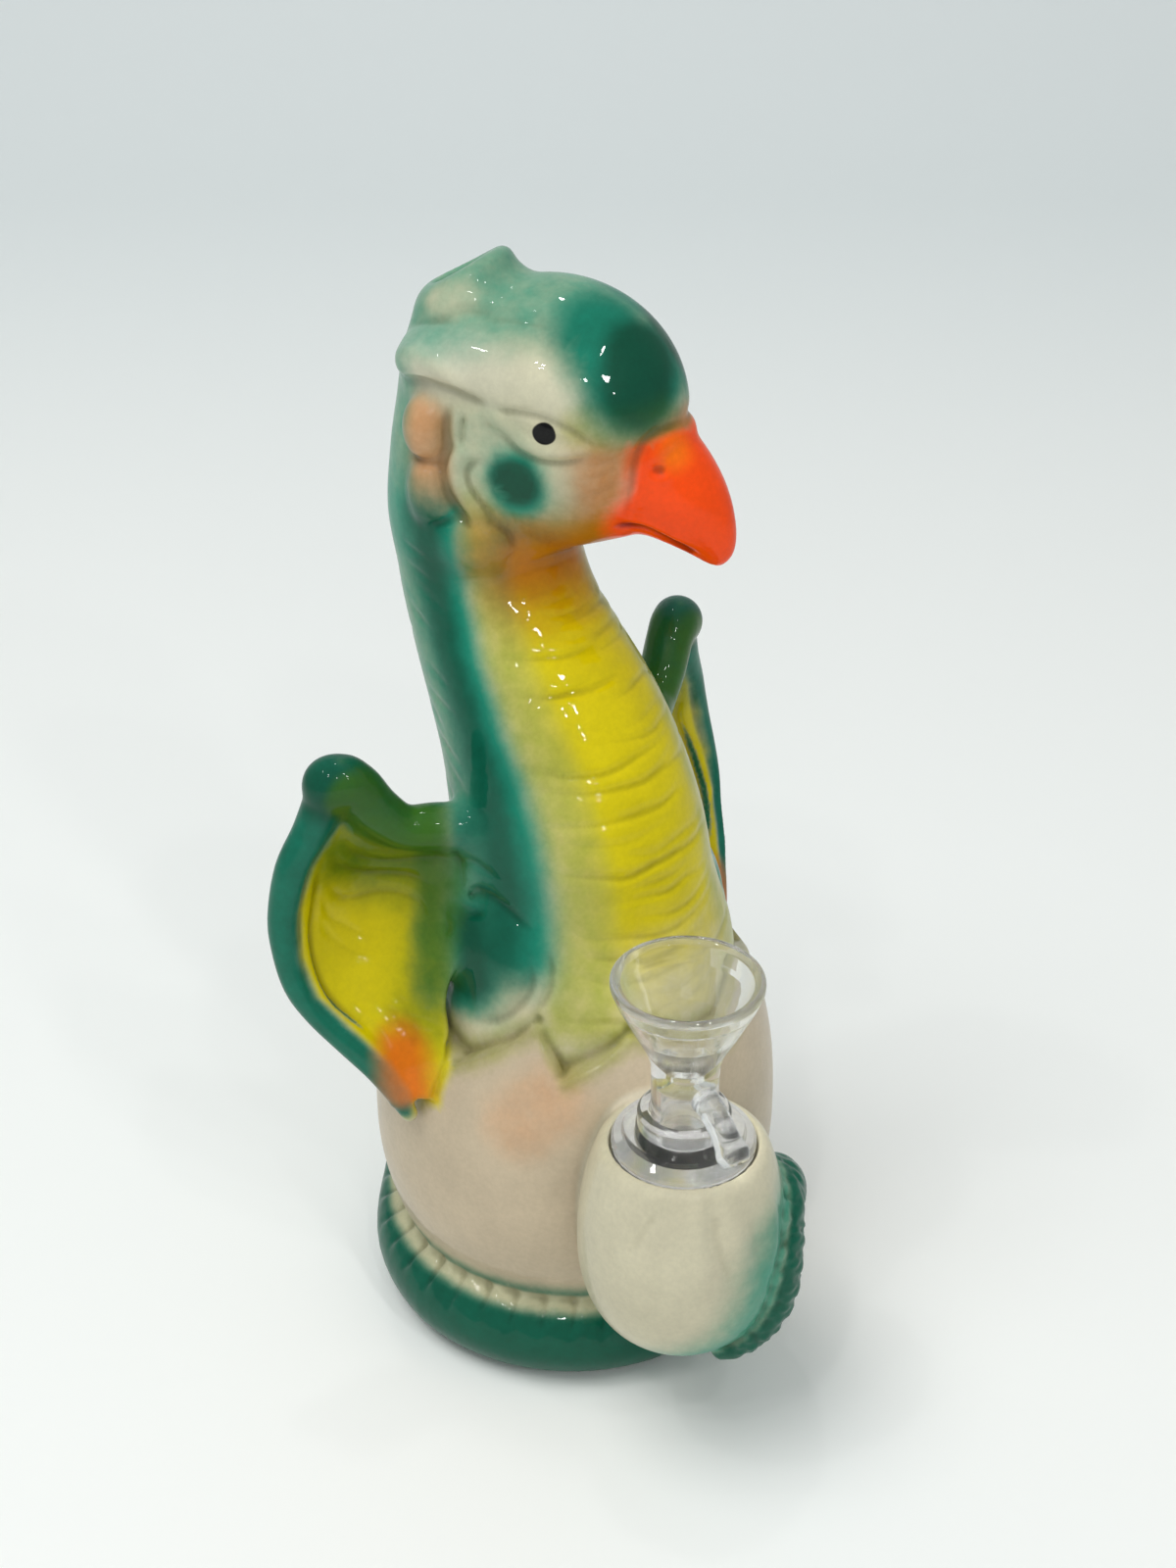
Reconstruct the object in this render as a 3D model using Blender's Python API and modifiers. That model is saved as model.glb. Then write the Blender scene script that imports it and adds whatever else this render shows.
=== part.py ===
"""Glazed ceramic water pipe: a hatchling in a cracked egg, with a glass bowl in a small egg-shaped socket.

Frame: +Z up, the figure faces -Y, and the origin is the centre of the egg's flat foot on the table.
Sizes below are millimetres and are scaled to metres as each mesh is made.
"""
import math

import bmesh
import bpy
from mathutils import Matrix, Vector

MM = 0.001
GAP = 0.3                       # clearance between neighbouring castings
WALL = 3.5                      # thickness of the cast ceramic

# ---- the egg -------------------------------------------------------------------------------------
EGG_RADIUS = 45.0
EGG_MIDDLE = 46.0               # height of its widest level
EGG_ABOVE = 58.0                # half height of the curve above and below that level
EGG_BELOW = 52.0
EGG_FULLNESS = 2.5              # exponent of the upper curve
# cracked edge: angle from the front towards the figure's right, height
CRACK = ((24, 87.5), (46, 80.5), (55, 90.0), (81, 79.0), (108, 86.5), (136, 78.0), (166, 88.0),
         (190, 79.5), (216, 87.0), (243, 78.5), (268, 88.5), (292, 80.0), (318, 87.0), (346, 79.5))
CRACK_STEPS = 3                 # columns of faces between two points of the edge
EGG_LEVELS = (0.0, 3.0, 8.0, 15.0, 24.0, 35.0, 46.0, 57.0, 66.0, 73.0)
PORT_RADIUS = 5.0               # water port between the egg and the socket
PORT_HEIGHT = 38.0

# ---- body and neck: y, z and radius of rings along the centre line -------------------------------
SKIRT_INSET = 1.0               # how far the body sits under the egg's surface
BODY_STATIONS = ((-1.2, 92.0, 32.8), (-2.4, 99.0, 30.0), (-2.9, 105.6, 28.1), (-1.6, 117.0, 26.9),
                 (1.6, 128.0, 25.5), (6.2, 138.5, 23.8), (13.2, 149.0, 21.8), (20.4, 160.0, 20.0),
                 (25.2, 172.0, 19.2), (26.6, 184.0, 18.8))
RING_SIDES = 32

# ---- head, in its own axes: along the beak, to the figure's left, up -----------------------------
NECK_AXIS_Y = 25.0
HEAD_TURN = math.radians(25)
SKULL = ((15, 0, 209), (27, 19, 24.5))
JAW = ((15, 0, 196), (24, 17, 17))
NECK_TOP = ((-1.5, 184.3, 18.8), (-1.8, 194, 18.5), (-1.5, 205, 17.0), (-2, 214, 15.0), (-2.5, 221, 11.5))
BEAK = ((29, 197.5, 14.5, 12.5), (34, 196.8, 13.2, 10.8), (38.5, 194.6, 11.6, 9.3),
        (43.5, 190.8, 9.2, 7.6), (47.6, 186.3, 6.4, 5.6), (50.0, 182.4, 4.0, 3.6),
        (50.8, 179.8, 1.8, 1.8))
BROW = ((3, 12.5, 219), (15, 5.5, 5.5))
LOBES = (((-8, 14, 206), (6.5, 5, 8)), ((-8.5, 13.5, 191), (6.5, 4.5, 9)),
         ((3, 14, 182), (8.5, 6.5, 8.5)))
HEAD_CAVITY = ((9, 0, 205), (25, 14.5, 20.5))
# mouthpiece crest: centre along the beak, height and radius of its rings, leaning backwards
MOUTHPIECE = ((0.5, 217, 13.5), (-1.2, 223, 12.2), (-3.2, 229, 10.4), (-4.6, 233, 9.4))
MOUTHPIECE_LEAN = math.radians(33)
BORE_RADIUS = 5.5

# ---- wings: rows of height, inner edge, outer edge, and stand-off of inner, middle, outer --------
WING_ROOT = (-27.0, 6.0)
WING_DIRECTION = Vector((-0.85, 0.527, 0))
WING_FRONT = Vector((-0.527, -0.85, 0))
WING_WALL = 4.0
WING_ROWS = ((129, 3, 28, 0, -1, 0), (120, 0, 33, 0, -4, 1.5), (112, 2, 36, 1, -6, 3),
             (102, 5, 36.4, 4, -3, 5), (91.5, 8, 32.6, 8, 3, 8), (84.5, 8, 26.6, 11, 8, 11),
             (78.5, 9, 20.6, 13, 11.5, 13), (71, 11.5, 17, 14, 13.5, 14))
WING_COLUMNS = 8
LEFT_WING_SHIFT = (-2.0, 4.5)   # the left wing sits nearer to the neck and higher: along, up
ARM = ((-4, 127, 5.2), (4, 127, 5.0), (11, 127.6, 4.6), (16.4, 132.5, 5.2), (20.6, 138.5, 5.6),
       (25, 140.6, 4.8))
RIM = ((25.6, 139, 1.0, 4.2), (30, 129.5, 1.5, 3.7), (34.3, 121, 2, 3.7), (36.6, 111, 3, 3.6),
       (36.6, 104, 4.5, 3.5), (35, 96, 6.5, 3.4), (31.5, 89.5, 8, 3.2), (26, 83, 10.5, 3.0),
       (20.5, 76.5, 12.5, 2.8), (16.5, 70, 13.8, 2.4), (14.2, 65, 14.3, 1.8))

# ---- socket for the glass, a small egg on the egg's right front ----------------------------------
SOCKET_AXIS = (-19.8, -53.9)
SOCKET_RADIUS = 21.6
SOCKET_MIDDLE = 52.0
SOCKET_ABOVE = 38.5
SOCKET_BELOW = 26.0
SOCKET_FULLNESS = 2.4           # exponent of its lower curve
SOCKET_TOP = 76.0
MOUTH_RADIUS = 15.1             # recess for the glass flange
SEAT_RADIUS = 12.8              # bore for the grommet below it
SEAT_HEIGHT = 73.2

# ---- tail: x, y, z and radius along its centre line ----------------------------------------------
TAIL_COIL_RADIUS = 36.0
TAIL_COIL = ((208, 47, 9.0), (190, 36, 11.0), (168, 23, 11.2), (146, 14.0, 10.8), (120, 11.0, 10.7),
             (92, 10.4, 10.8), (66, 10.4, 10.8), (42, 10.3, 10.6), (20, 10.0, 10.2), (2, 10.2, 9.6))
TAIL_HOOK = ((4.5, -42.5, 16, 8.8), (8.0, -47.5, 27, 8.0), (8.0, -52.0, 39, 7.2),
             (5.6, -56.5, 50, 6.6), (0.6, -61.5, 57.5, 6.0), (-4.6, -67.0, 57.0, 5.6),
             (-7.6, -70.6, 49, 5.3), (-9.8, -71.4, 40.5, 5.0), (-13.4, -70.0, 33.5, 4.3),
             (-16.4, -67.8, 29.0, 3.3), (-19.0, -66.0, 26.6, 2.0))

# ---- grommet and glass, radius and height about the socket's axis --------------------------------
GROMMET = ((14.6, 75.0), (14.6, 73.5), (12.5, 73.5), (12.5, 62.0), (11.8, 61.0), (9.1, 61.0),
           (9.1, 75.0))
DOWNSTEM = ((7.1, 84.0), (8.9, 84.0), (9.5, 83.3), (9.5, 80.4), (12.2, 79.6), (12.6, 78.4),
            (14.2, 77.4), (14.7, 76.6), (14.7, 75.3), (8.8, 75.3), (8.8, 60.0), (6.0, 56.0),
            (6.0, 34.0), (4.4, 34.0), (4.4, 62.0), (6.6, 63.5))
BOWL_RIM_RADIUS = 15.2
BOWL = ((14.4, 115.6), (BOWL_RIM_RADIUS, 115.0), (BOWL_RIM_RADIUS, 113.8), (14.0, 110.6), (10.8, 104.0),
        (8.0, 98.6), (7.0, 95.4), (6.8, 91.0), (6.8, 84.2), (6.25, 64.0), (4.6, 64.0), (4.6, 90.0),
        (2.2, 92.5), (2.2, 95.0), (5.0, 98.6), (8.6, 104.0), (11.8, 110.6), (13.0, 114.4))
GLASS_STEPS = 28
HANDLE_DIRECTION = Vector((-0.258, -0.966, 0))
HANDLE = ((7.2, 91.0, 2.9), (10.0, 90.6, 2.8), (13.5, 89.0, 2.75), (16.5, 86.9, 2.9), (18.6, 85.3, 3.5),
          (20.2, 84.1, 2.6))

# rounded ends of tubes, as shares of the radius there
DOME_LENGTH = 0.5
DOME_RADIUS = 0.62

# colour, roughness and how far light passes through
LOOKS = {"pink_glaze": ((0.78, 0.62, 0.54, 1), 0.08, 0.0),
         "yellow_glaze": ((0.78, 0.66, 0.05, 1), 0.08, 0.0),
         "cream_glaze": ((0.78, 0.68, 0.55, 1), 0.08, 0.0),
         "teal_glaze": ((0.05, 0.33, 0.25, 1), 0.08, 0.0),
         "olive_glaze": ((0.45, 0.50, 0.10, 1), 0.08, 0.0),
         "clear_glass": ((0.95, 0.97, 0.97, 1), 0.02, 1.0),
         "black_rubber": ((0.05, 0.05, 0.05, 1), 0.6, 0.0)}


# ---- scene and object helpers --------------------------------------------------------------------
def clear_scene():
    for obj in list(bpy.data.objects):
        bpy.data.objects.remove(obj, do_unlink=True)


def make_collection(name):
    group = bpy.data.collections.new(name)
    bpy.context.scene.collection.children.link(group)
    return group


clear_scene()
PARTS = make_collection("hatchling_water_pipe")
CUTTERS = make_collection("cutters")


def make_material(name, colour, roughness, transmission):
    mat = bpy.data.materials.new(name)
    mat.use_nodes = True
    shader = mat.node_tree.nodes["Principled BSDF"]
    shader.inputs["Base Color"].default_value = colour
    shader.inputs["Roughness"].default_value = roughness
    shader.inputs["Metallic"].default_value = 0.0
    shader.inputs["Transmission Weight"].default_value = transmission
    return mat


def new_object(name, mesh_data, group):
    obj = bpy.data.objects.new(name, mesh_data)
    group.objects.link(obj)
    return obj


def mesh_object(name, shape, group=PARTS):
    """Turn a bmesh built in millimetres into an object in metres."""
    bmesh.ops.scale(shape, vec=(MM, MM, MM), verts=shape.verts)
    mesh_data = bpy.data.meshes.new(name)
    shape.to_mesh(mesh_data)
    shape.free()
    mesh_data.shade_smooth()
    mesh_data.set_sharp_from_angle(angle=math.radians(40))
    return new_object(name, mesh_data, group)


def hide_cutter(obj):
    obj.hide_render = True
    obj.display_type = "WIRE"
    return obj


def boolean(obj, other, operation="DIFFERENCE"):
    mod = obj.modifiers.new(operation.lower() + "_" + other.name, "BOOLEAN")
    mod.operation = operation
    mod.object = other
    mod.solver = "EXACT"


def solidify(obj, thickness):
    mod = obj.modifiers.new("wall", "SOLIDIFY")
    mod.thickness = thickness * MM
    mod.offset = -1
    mod.use_even_offset = True


def bridge(shape, rows, closed=True, cap_start=False, cap_end=False):
    """Skin rows of points (same count) with quads, added to the bmesh."""
    vert_rows = [[shape.verts.new(p) for p in row] for row in rows]
    count = len(rows[0])
    for lower, upper in zip(vert_rows, vert_rows[1:]):
        for i in range(count if closed else count - 1):
            j = (i + 1) % count
            shape.faces.new((lower[i], lower[j], upper[j], upper[i]))
    if cap_start:
        shape.faces.new(list(reversed(vert_rows[0])))
    if cap_end:
        shape.faces.new(vert_rows[-1])


def circle_points(centre, across, up, radius_across, radius_up, sides):
    turns = [2 * math.pi * i / sides for i in range(sides)]
    return [centre + across * radius_across * math.cos(turn) + up * radius_up * math.sin(turn)
            for turn in turns]


def level_circle(centre, radius, sides):
    return circle_points(Vector(centre), Vector((1, 0, 0)), Vector((0, 1, 0)), radius, radius, sides)


def smooth_value(stations, t):
    """Catmull-Rom through a list of tuples, t from 0 to 1 over the whole list."""
    last = len(stations) - 1
    place = min(max(t, 0.0), 1.0) * last
    i = min(int(place), last - 1)
    u = place - i
    before = stations[max(i - 1, 0)]
    start, end = stations[i], stations[i + 1]
    after = stations[min(i + 2, last)]
    result = []
    for a, b, c, d in zip(before, start, end, after):
        result.append(0.5 * (2 * b + (c - a) * u + (2 * a - 5 * b + 4 * c - d) * u ** 2
                             + (3 * b - a - 3 * c + d) * u ** 3))
    return result


def turned(name, profile, steps, group=PARTS, axis=SOCKET_AXIS, grow_closed=True):
    """A closed profile of (radius, height), listed down the outer side, turned about a vertical axis."""
    mesh_data = bpy.data.meshes.new(name)
    verts = [(r * MM, 0, z * MM) for r, z in profile]
    count = len(verts)
    edges = [(i, (i + 1) % count) for i in range(count if grow_closed else count - 1)]
    mesh_data.from_pydata(verts, edges, [])
    obj = new_object(name, mesh_data, group)
    obj.location = (axis[0] * MM, axis[1] * MM, 0)
    screw = obj.modifiers.new("turn", "SCREW")
    screw.steps = steps
    screw.render_steps = steps
    screw.use_merge_vertices = True
    screw.merge_threshold = 0.00001
    screw.use_smooth_shade = True
    return obj


def ellipsoid(name, centre, radii, group, segments=24, rings=14, turn=None):
    """An ellipsoid, optionally placed in the head's axes."""
    shape = bmesh.new()
    bmesh.ops.create_uvsphere(shape, u_segments=segments, v_segments=rings, radius=1)
    bmesh.ops.scale(shape, vec=radii, verts=shape.verts)
    bmesh.ops.translate(shape, vec=centre, verts=shape.verts)
    if turn:
        bmesh.ops.transform(shape, matrix=turn, verts=shape.verts)
    return mesh_object(name, shape, group)


def tube_mesh(name, points, group=PARTS, sides_level=2):
    """A tube through (position, radius) pairs, with rounded-off ends, made a closed mesh."""
    curve = bpy.data.curves.new(name + "_curve", "CURVE")
    curve.dimensions = "3D"
    curve.bevel_depth = 1.0 * MM
    curve.bevel_resolution = sides_level
    curve.use_fill_caps = True
    curve.render_resolution_u = 0
    spline = curve.splines.new("POLY")
    spline.points.add(len(points) - 1)
    for point, (position, radius) in zip(spline.points, points):
        point.co = (position[0] * MM, position[1] * MM, position[2] * MM, 1)
        point.radius = radius
    obj = new_object(name + "_curve", curve, group)
    bpy.context.view_layer.update()
    evaluated = obj.evaluated_get(bpy.context.evaluated_depsgraph_get())
    mesh_data = bpy.data.meshes.new_from_object(evaluated)
    bpy.data.objects.remove(obj, do_unlink=True)
    shape = bmesh.new()
    shape.from_mesh(mesh_data)
    bmesh.ops.remove_doubles(shape, verts=shape.verts, dist=0.00001)
    bmesh.ops.recalc_face_normals(shape, faces=shape.faces)
    shape.to_mesh(mesh_data)
    shape.free()
    mesh_data.shade_smooth()
    mesh_data.name = name
    return new_object(name, mesh_data, group)


def smooth_tube(stations, count):
    """Points along a smooth curve through stations of (x, y, z, radius), with domed ends."""
    points = []
    for i in range(count + 1):
        x, y, z, radius = smooth_value(stations, i / count)
        points.append((Vector((x, y, z)), radius))

    def dome(end, inward):
        place, radius = end
        return place + (place - inward[0]).normalized() * radius * DOME_LENGTH, radius * DOME_RADIUS
    return [dome(points[0], points[1])] + points + [dome(points[-1], points[-2])]


# ---- the egg -------------------------------------------------------------------------------------
def egg_radius(z):
    if z >= EGG_MIDDLE:
        part = (z - EGG_MIDDLE) / EGG_ABOVE
        return EGG_RADIUS * (1 - part ** EGG_FULLNESS) ** (1 / EGG_FULLNESS)
    return EGG_RADIUS * math.sqrt(1 - ((z - EGG_MIDDLE) / EGG_BELOW) ** 2)


def front_angle(degrees):
    """Direction of an angle counted from the front (-Y) towards the figure's right (-X)."""
    angle = math.radians(degrees)
    return Vector((-math.sin(angle), -math.cos(angle), 0))


def crack_columns():
    columns = []
    for i, (angle, height) in enumerate(CRACK):
        next_angle, next_height = CRACK[(i + 1) % len(CRACK)]
        if next_angle < angle:
            next_angle += 360
        for k in range(CRACK_STEPS):
            t = k / CRACK_STEPS
            columns.append((angle + (next_angle - angle) * t, height + (next_height - height) * t))
    return columns


def egg_surface(name, grow, raise_edge, group):
    """The open cup of the egg, its upper edge following the crack."""
    shape = bmesh.new()
    columns = list(reversed(crack_columns()))
    rows = []
    for z in EGG_LEVELS:
        radius = egg_radius(z) + grow
        height = z if z > 0 else -grow
        rows.append([front_angle(a) * radius + Vector((0, 0, height)) for a, _ in columns])
    halfway = [(a, (z + EGG_LEVELS[-1]) / 2) for a, z in columns]
    edge = [(a, z + raise_edge) for a, z in columns]
    for places in (halfway, edge):
        rows.append([front_angle(a) * (egg_radius(z) + grow) + Vector((0, 0, z)) for a, z in places])
    bridge(shape, rows, cap_start=True)
    bmesh.ops.recalc_face_normals(shape, faces=shape.faces)
    return mesh_object(name, shape, group)


def egg_shell(port):
    egg = egg_surface("egg_shell", 0.0, 0.0, PARTS)
    solidify(egg, WALL)
    boolean(egg, port)
    return egg


def egg_envelope():
    """The egg's outside plus the gap, as a closed solid that cuts whatever leans on it."""
    shape = bmesh.new()
    rows = []
    for z in (-2.0, *EGG_LEVELS[1:], 79.0):
        rows.append(level_circle((0, 0, z), egg_radius(max(z, 0.0)) + GAP, len(CRACK) * CRACK_STEPS))
    bridge(shape, rows, cap_start=True, cap_end=True)
    bmesh.ops.recalc_face_normals(shape, faces=shape.faces)
    return hide_cutter(mesh_object("egg_envelope", shape, CUTTERS))


# ---- body and neck -------------------------------------------------------------------------------
def body_stations():
    skirt = [(0.0, z, egg_radius(z) - SKIRT_INSET) for z in (75.0, 80.5)]
    skirt.append((-0.7, 86.0, egg_radius(86.0) - SKIRT_INSET))
    return skirt + list(BODY_STATIONS)


def body_rows(grow):
    stations = body_stations()
    rows = []
    for i, (y, z, radius) in enumerate(stations):
        before = stations[max(i - 1, 0)]
        after = stations[min(i + 1, len(stations) - 1)]
        along = Vector((0, after[0] - before[0], after[1] - before[1])).normalized()
        if i < 3:
            along = Vector((0, 0, 1))
        across = Vector((1, 0, 0))
        up = along.cross(across)
        rows.append(circle_points(Vector((0, y, z)), across, up, radius + grow, radius + grow, RING_SIDES))
    return rows


def body_and_neck(crack_cutter):
    shape = bmesh.new()
    bridge(shape, body_rows(0.0))
    body = mesh_object("body_and_neck", shape)
    solidify(body, WALL)
    boolean(body, crack_cutter)
    return body


def body_envelope():
    shape = bmesh.new()
    rows = body_rows(GAP)
    bridge(shape, rows, cap_start=True, cap_end=True)
    return hide_cutter(mesh_object("body_envelope", shape, CUTTERS))


# ---- head ----------------------------------------------------------------------------------------
def head_matrix():
    """Axes of the head: local x along the beak, y to the figure's left, z up."""
    forward = Vector((math.sin(HEAD_TURN), -math.cos(HEAD_TURN), 0))
    left = Vector((math.cos(HEAD_TURN), math.sin(HEAD_TURN), 0))
    turn = Matrix((forward, left, Vector((0, 0, 1)))).transposed().to_4x4()
    return Matrix.Translation((0, NECK_AXIS_Y, 0)) @ turn


def beak_solid(group):
    shape = bmesh.new()
    rows = []
    for i, (along, height, half_height, half_width) in enumerate(BEAK):
        before = BEAK[max(i - 1, 0)]
        after = BEAK[min(i + 1, len(BEAK) - 1)]
        line = Vector((after[0] - before[0], 0, after[1] - before[1])).normalized()
        side = Vector((0, 1, 0))
        up = line.cross(side)
        rows.append(circle_points(Vector((along, 0, height)), side, up, half_width, half_height, 20))
    bridge(shape, rows, cap_start=True, cap_end=True)
    bmesh.ops.transform(shape, matrix=head_matrix(), verts=shape.verts)
    bmesh.ops.recalc_face_normals(shape, faces=shape.faces)
    return hide_cutter(mesh_object("beak_form", shape, group))


def neck_top_solid(name, grow):
    shape = bmesh.new()
    rows = [level_circle((along, 0, height), radius + grow, 28) for along, height, radius in NECK_TOP]
    bridge(shape, rows, cap_start=True, cap_end=True)
    bmesh.ops.transform(shape, matrix=head_matrix(), verts=shape.verts)
    return mesh_object(name, shape, CUTTERS)


def head(neck_cutter, bore):
    turn = head_matrix()
    skull = ellipsoid("head", SKULL[0], SKULL[1], PARTS, 24, 14, turn)
    boolean(skull, hide_cutter(ellipsoid("jaw_form", JAW[0], JAW[1], CUTTERS, 18, 12, turn)), "UNION")
    boolean(skull, beak_solid(CUTTERS), "UNION")
    boolean(skull, hide_cutter(neck_top_solid("neck_top_form", 0.0)), "UNION")
    for side in (-1, 1):
        place = (BROW[0][0], BROW[0][1] * side, BROW[0][2])
        form = ellipsoid(f"brow_form_{side}", place, BROW[1], CUTTERS, 12, 8, turn)
        boolean(skull, hide_cutter(form), "UNION")
        for k, (centre, radii) in enumerate(LOBES):
            place = (centre[0], centre[1] * side, centre[2])
            form = ellipsoid(f"lobe_form_{k}_{side}", place, radii, CUTTERS, 10, 6, turn)
            boolean(skull, hide_cutter(form), "UNION")
    boolean(skull, neck_cutter)
    cavity = ellipsoid("head_cavity", HEAD_CAVITY[0], HEAD_CAVITY[1], CUTTERS, 16, 10, turn)
    boolean(skull, hide_cutter(cavity))
    boolean(skull, hide_cutter(neck_passage()))
    boolean(skull, bore)
    return skull


def neck_passage():
    """The hollow of the neck carried up into the head."""
    shape = bmesh.new()
    rows = [level_circle((0, 0, z), r, 24) for z, r in ((176, 14.8), (198, 14.6), (210, 11.0))]
    bridge(shape, rows, cap_start=True, cap_end=True)
    bmesh.ops.transform(shape, matrix=head_matrix(), verts=shape.verts)
    return mesh_object("neck_passage", shape, CUTTERS)


def mouthpiece_bore():
    """A straight bore from the head's hollow out through the crest, along its lean."""
    lean = Vector((-math.sin(MOUTHPIECE_LEAN), 0, math.cos(MOUTHPIECE_LEAN)))
    top = Vector((MOUTHPIECE[-1][0], 0, MOUTHPIECE[-1][1]))
    shape = bmesh.new()
    across = Vector((0, 1, 0))
    rows = [circle_points(top + lean * d, across, lean.cross(across), BORE_RADIUS, BORE_RADIUS, 20)
            for d in (-24, 12)]
    bridge(shape, rows, cap_start=True, cap_end=True)
    bmesh.ops.transform(shape, matrix=head_matrix(), verts=shape.verts)
    bmesh.ops.recalc_face_normals(shape, faces=shape.faces)
    return hide_cutter(mesh_object("mouthpiece_bore", shape, CUTTERS))


def mouthpiece(bore):
    shape = bmesh.new()
    rows = []
    last = len(MOUTHPIECE) - 1
    for i, (along, height, radius) in enumerate(MOUTHPIECE):
        lean_angle = MOUTHPIECE_LEAN * i / last
        lean = Vector((-math.sin(lean_angle), 0, math.cos(lean_angle)))
        across = Vector((0, 1, 0))
        up = across.cross(lean)
        rows.append(circle_points(Vector((along, 0, height)), across, up, radius, radius, 24))
    crown = Vector((MOUTHPIECE[-1][0], 0, MOUTHPIECE[-1][1])) + lean * 1.2
    rows.append(circle_points(crown, across, across.cross(lean), MOUTHPIECE[-1][2] - 1.6,
                              MOUTHPIECE[-1][2] - 1.6, 24))
    bridge(shape, rows, cap_start=True, cap_end=True)
    bmesh.ops.transform(shape, matrix=head_matrix(), verts=shape.verts)
    bmesh.ops.recalc_face_normals(shape, faces=shape.faces)
    crest = mesh_object("mouthpiece", shape)
    turn = head_matrix()
    grown = [r + GAP for r in SKULL[1]]
    boolean(crest, hide_cutter(ellipsoid("skull_envelope", SKULL[0], grown, CUTTERS, 24, 14, turn)))
    boolean(crest, hide_cutter(neck_top_solid("neck_top_envelope", GAP)))
    for side in (-1, 1):
        place = (BROW[0][0], BROW[0][1] * side, BROW[0][2])
        grown = [r + GAP for r in BROW[1]]
        boolean(crest, hide_cutter(ellipsoid(f"brow_envelope_{side}", place, grown, CUTTERS, 12, 8, turn)))
    boolean(crest, bore)
    return crest


# ---- wings ---------------------------------------------------------------------------------------
def wing_point(along, height, stand_off, side):
    """A point of a wing: distance along it, height, and stand-off towards the front."""
    if side > 0:
        along += LEFT_WING_SHIFT[0]
        height += LEFT_WING_SHIFT[1]
    point = Vector((*WING_ROOT, height)) + WING_DIRECTION * along + WING_FRONT * stand_off
    return Vector((point.x * -side, point.y, point.z))


def wing(name, side, cutters):
    """side is -1 on the figure's right (-X) and 1 on its left."""
    shape = bmesh.new()
    rows = []
    count = 12
    for i in range(count + 1):
        height, inner, outer, off_in, off_mid, off_out = smooth_value(WING_ROWS, i / count)
        row = []
        for k in range(WING_COLUMNS + 1):
            t = k / WING_COLUMNS
            bow = 4 * t * (1 - t)
            stand_off = (off_in * (1 - t) + off_out * t) * (1 - bow) + off_mid * bow
            row.append(wing_point(inner + (outer - inner) * t, height, stand_off, side))
        rows.append(row)
    bridge(shape, rows, closed=False)
    if side > 0:
        bmesh.ops.reverse_faces(shape, faces=shape.faces)
    obj = mesh_object(name, shape)
    solidify(obj, WING_WALL)
    arm = [tuple(wing_point(s, z, 0.5, side)) + (r,) for s, z, r in ARM]
    rim = [tuple(wing_point(s, z, off, side)) + (r,) for s, z, off, r in RIM]
    boolean(obj, hide_cutter(tube_mesh(f"arm_form_{side}", smooth_tube(arm, 9), CUTTERS, 2)), "UNION")
    boolean(obj, hide_cutter(tube_mesh(f"rim_form_{side}", smooth_tube(rim, 12), CUTTERS, 2)), "UNION")
    for cutter in cutters:
        boolean(obj, cutter)
    return obj


# ---- socket and tail -----------------------------------------------------------------------------
def socket_radius(z, grow=0.0):
    if z >= SOCKET_MIDDLE:
        part = (z - SOCKET_MIDDLE) / (SOCKET_ABOVE + grow)
        return (SOCKET_RADIUS + grow) * math.sqrt(max(1 - part ** 2, 0))
    part = (SOCKET_MIDDLE - z) / (SOCKET_BELOW + grow)
    return (SOCKET_RADIUS + grow) * max(1 - part ** SOCKET_FULLNESS, 0) ** (1 / SOCKET_FULLNESS)


def socket_outline(grow, top, rings):
    """Points down the outer side of the socket, from its top to its lowest point on the axis."""
    bottom = SOCKET_MIDDLE - SOCKET_BELOW - grow
    points = []
    for i in range(rings):
        turn = math.pi / 2 * i / rings
        z = SOCKET_MIDDLE + (top - SOCKET_MIDDLE) * (1 - i / (rings * 0.45)) if i < rings * 0.45 else None
        if z is None:
            t = (i - rings * 0.45) / (rings * 0.55)
            z = SOCKET_MIDDLE - (SOCKET_MIDDLE - bottom) * math.sin(math.pi / 2 * t)
        points.append((socket_radius(z, grow), z))
    points.append((0.0, bottom))
    return points


def bowl_socket(cutters):
    outer = socket_outline(0.0, SOCKET_TOP - 1.2, 11)
    inner = list(reversed(socket_outline(-WALL, SEAT_HEIGHT - 11.5, 8)))
    profile = [(MOUTH_RADIUS, SOCKET_TOP - 0.6), (MOUTH_RADIUS + 0.8, SOCKET_TOP)]
    profile += [(socket_radius(SOCKET_TOP) - 0.6, SOCKET_TOP)]
    profile += outer + inner
    profile += [(SEAT_RADIUS, SEAT_HEIGHT - 9.0), (SEAT_RADIUS, SEAT_HEIGHT), (MOUTH_RADIUS, SEAT_HEIGHT)]
    shell = turned("bowl_socket", profile, 32)
    for cutter in cutters:
        boolean(shell, cutter)
    return shell


def socket_envelope():
    profile = [(0.0, SOCKET_TOP + 2)] + socket_outline(GAP, SOCKET_TOP, 12)
    return hide_cutter(turned("socket_envelope", profile, 36, CUTTERS, grow_closed=False))


def tail(cutters):
    stations = []
    for angle, height, radius in TAIL_COIL:
        place = front_angle(angle) * TAIL_COIL_RADIUS
        stations.append((place.x, place.y, height, radius))
    stations += list(TAIL_HOOK)
    body = tube_mesh("tail", smooth_tube(stations, 48), PARTS, 2)
    for cutter in cutters:
        boolean(body, cutter)
    return body


def table_cutter():
    """Everything below the table, to flatten the underside of the tail."""
    shape = bmesh.new()
    bmesh.ops.create_cube(shape, size=1)
    bmesh.ops.scale(shape, vec=(200, 200, 20), verts=shape.verts)
    bmesh.ops.translate(shape, vec=(0, 0, -10), verts=shape.verts)
    return hide_cutter(mesh_object("table_cutter", shape, CUTTERS))


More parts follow.
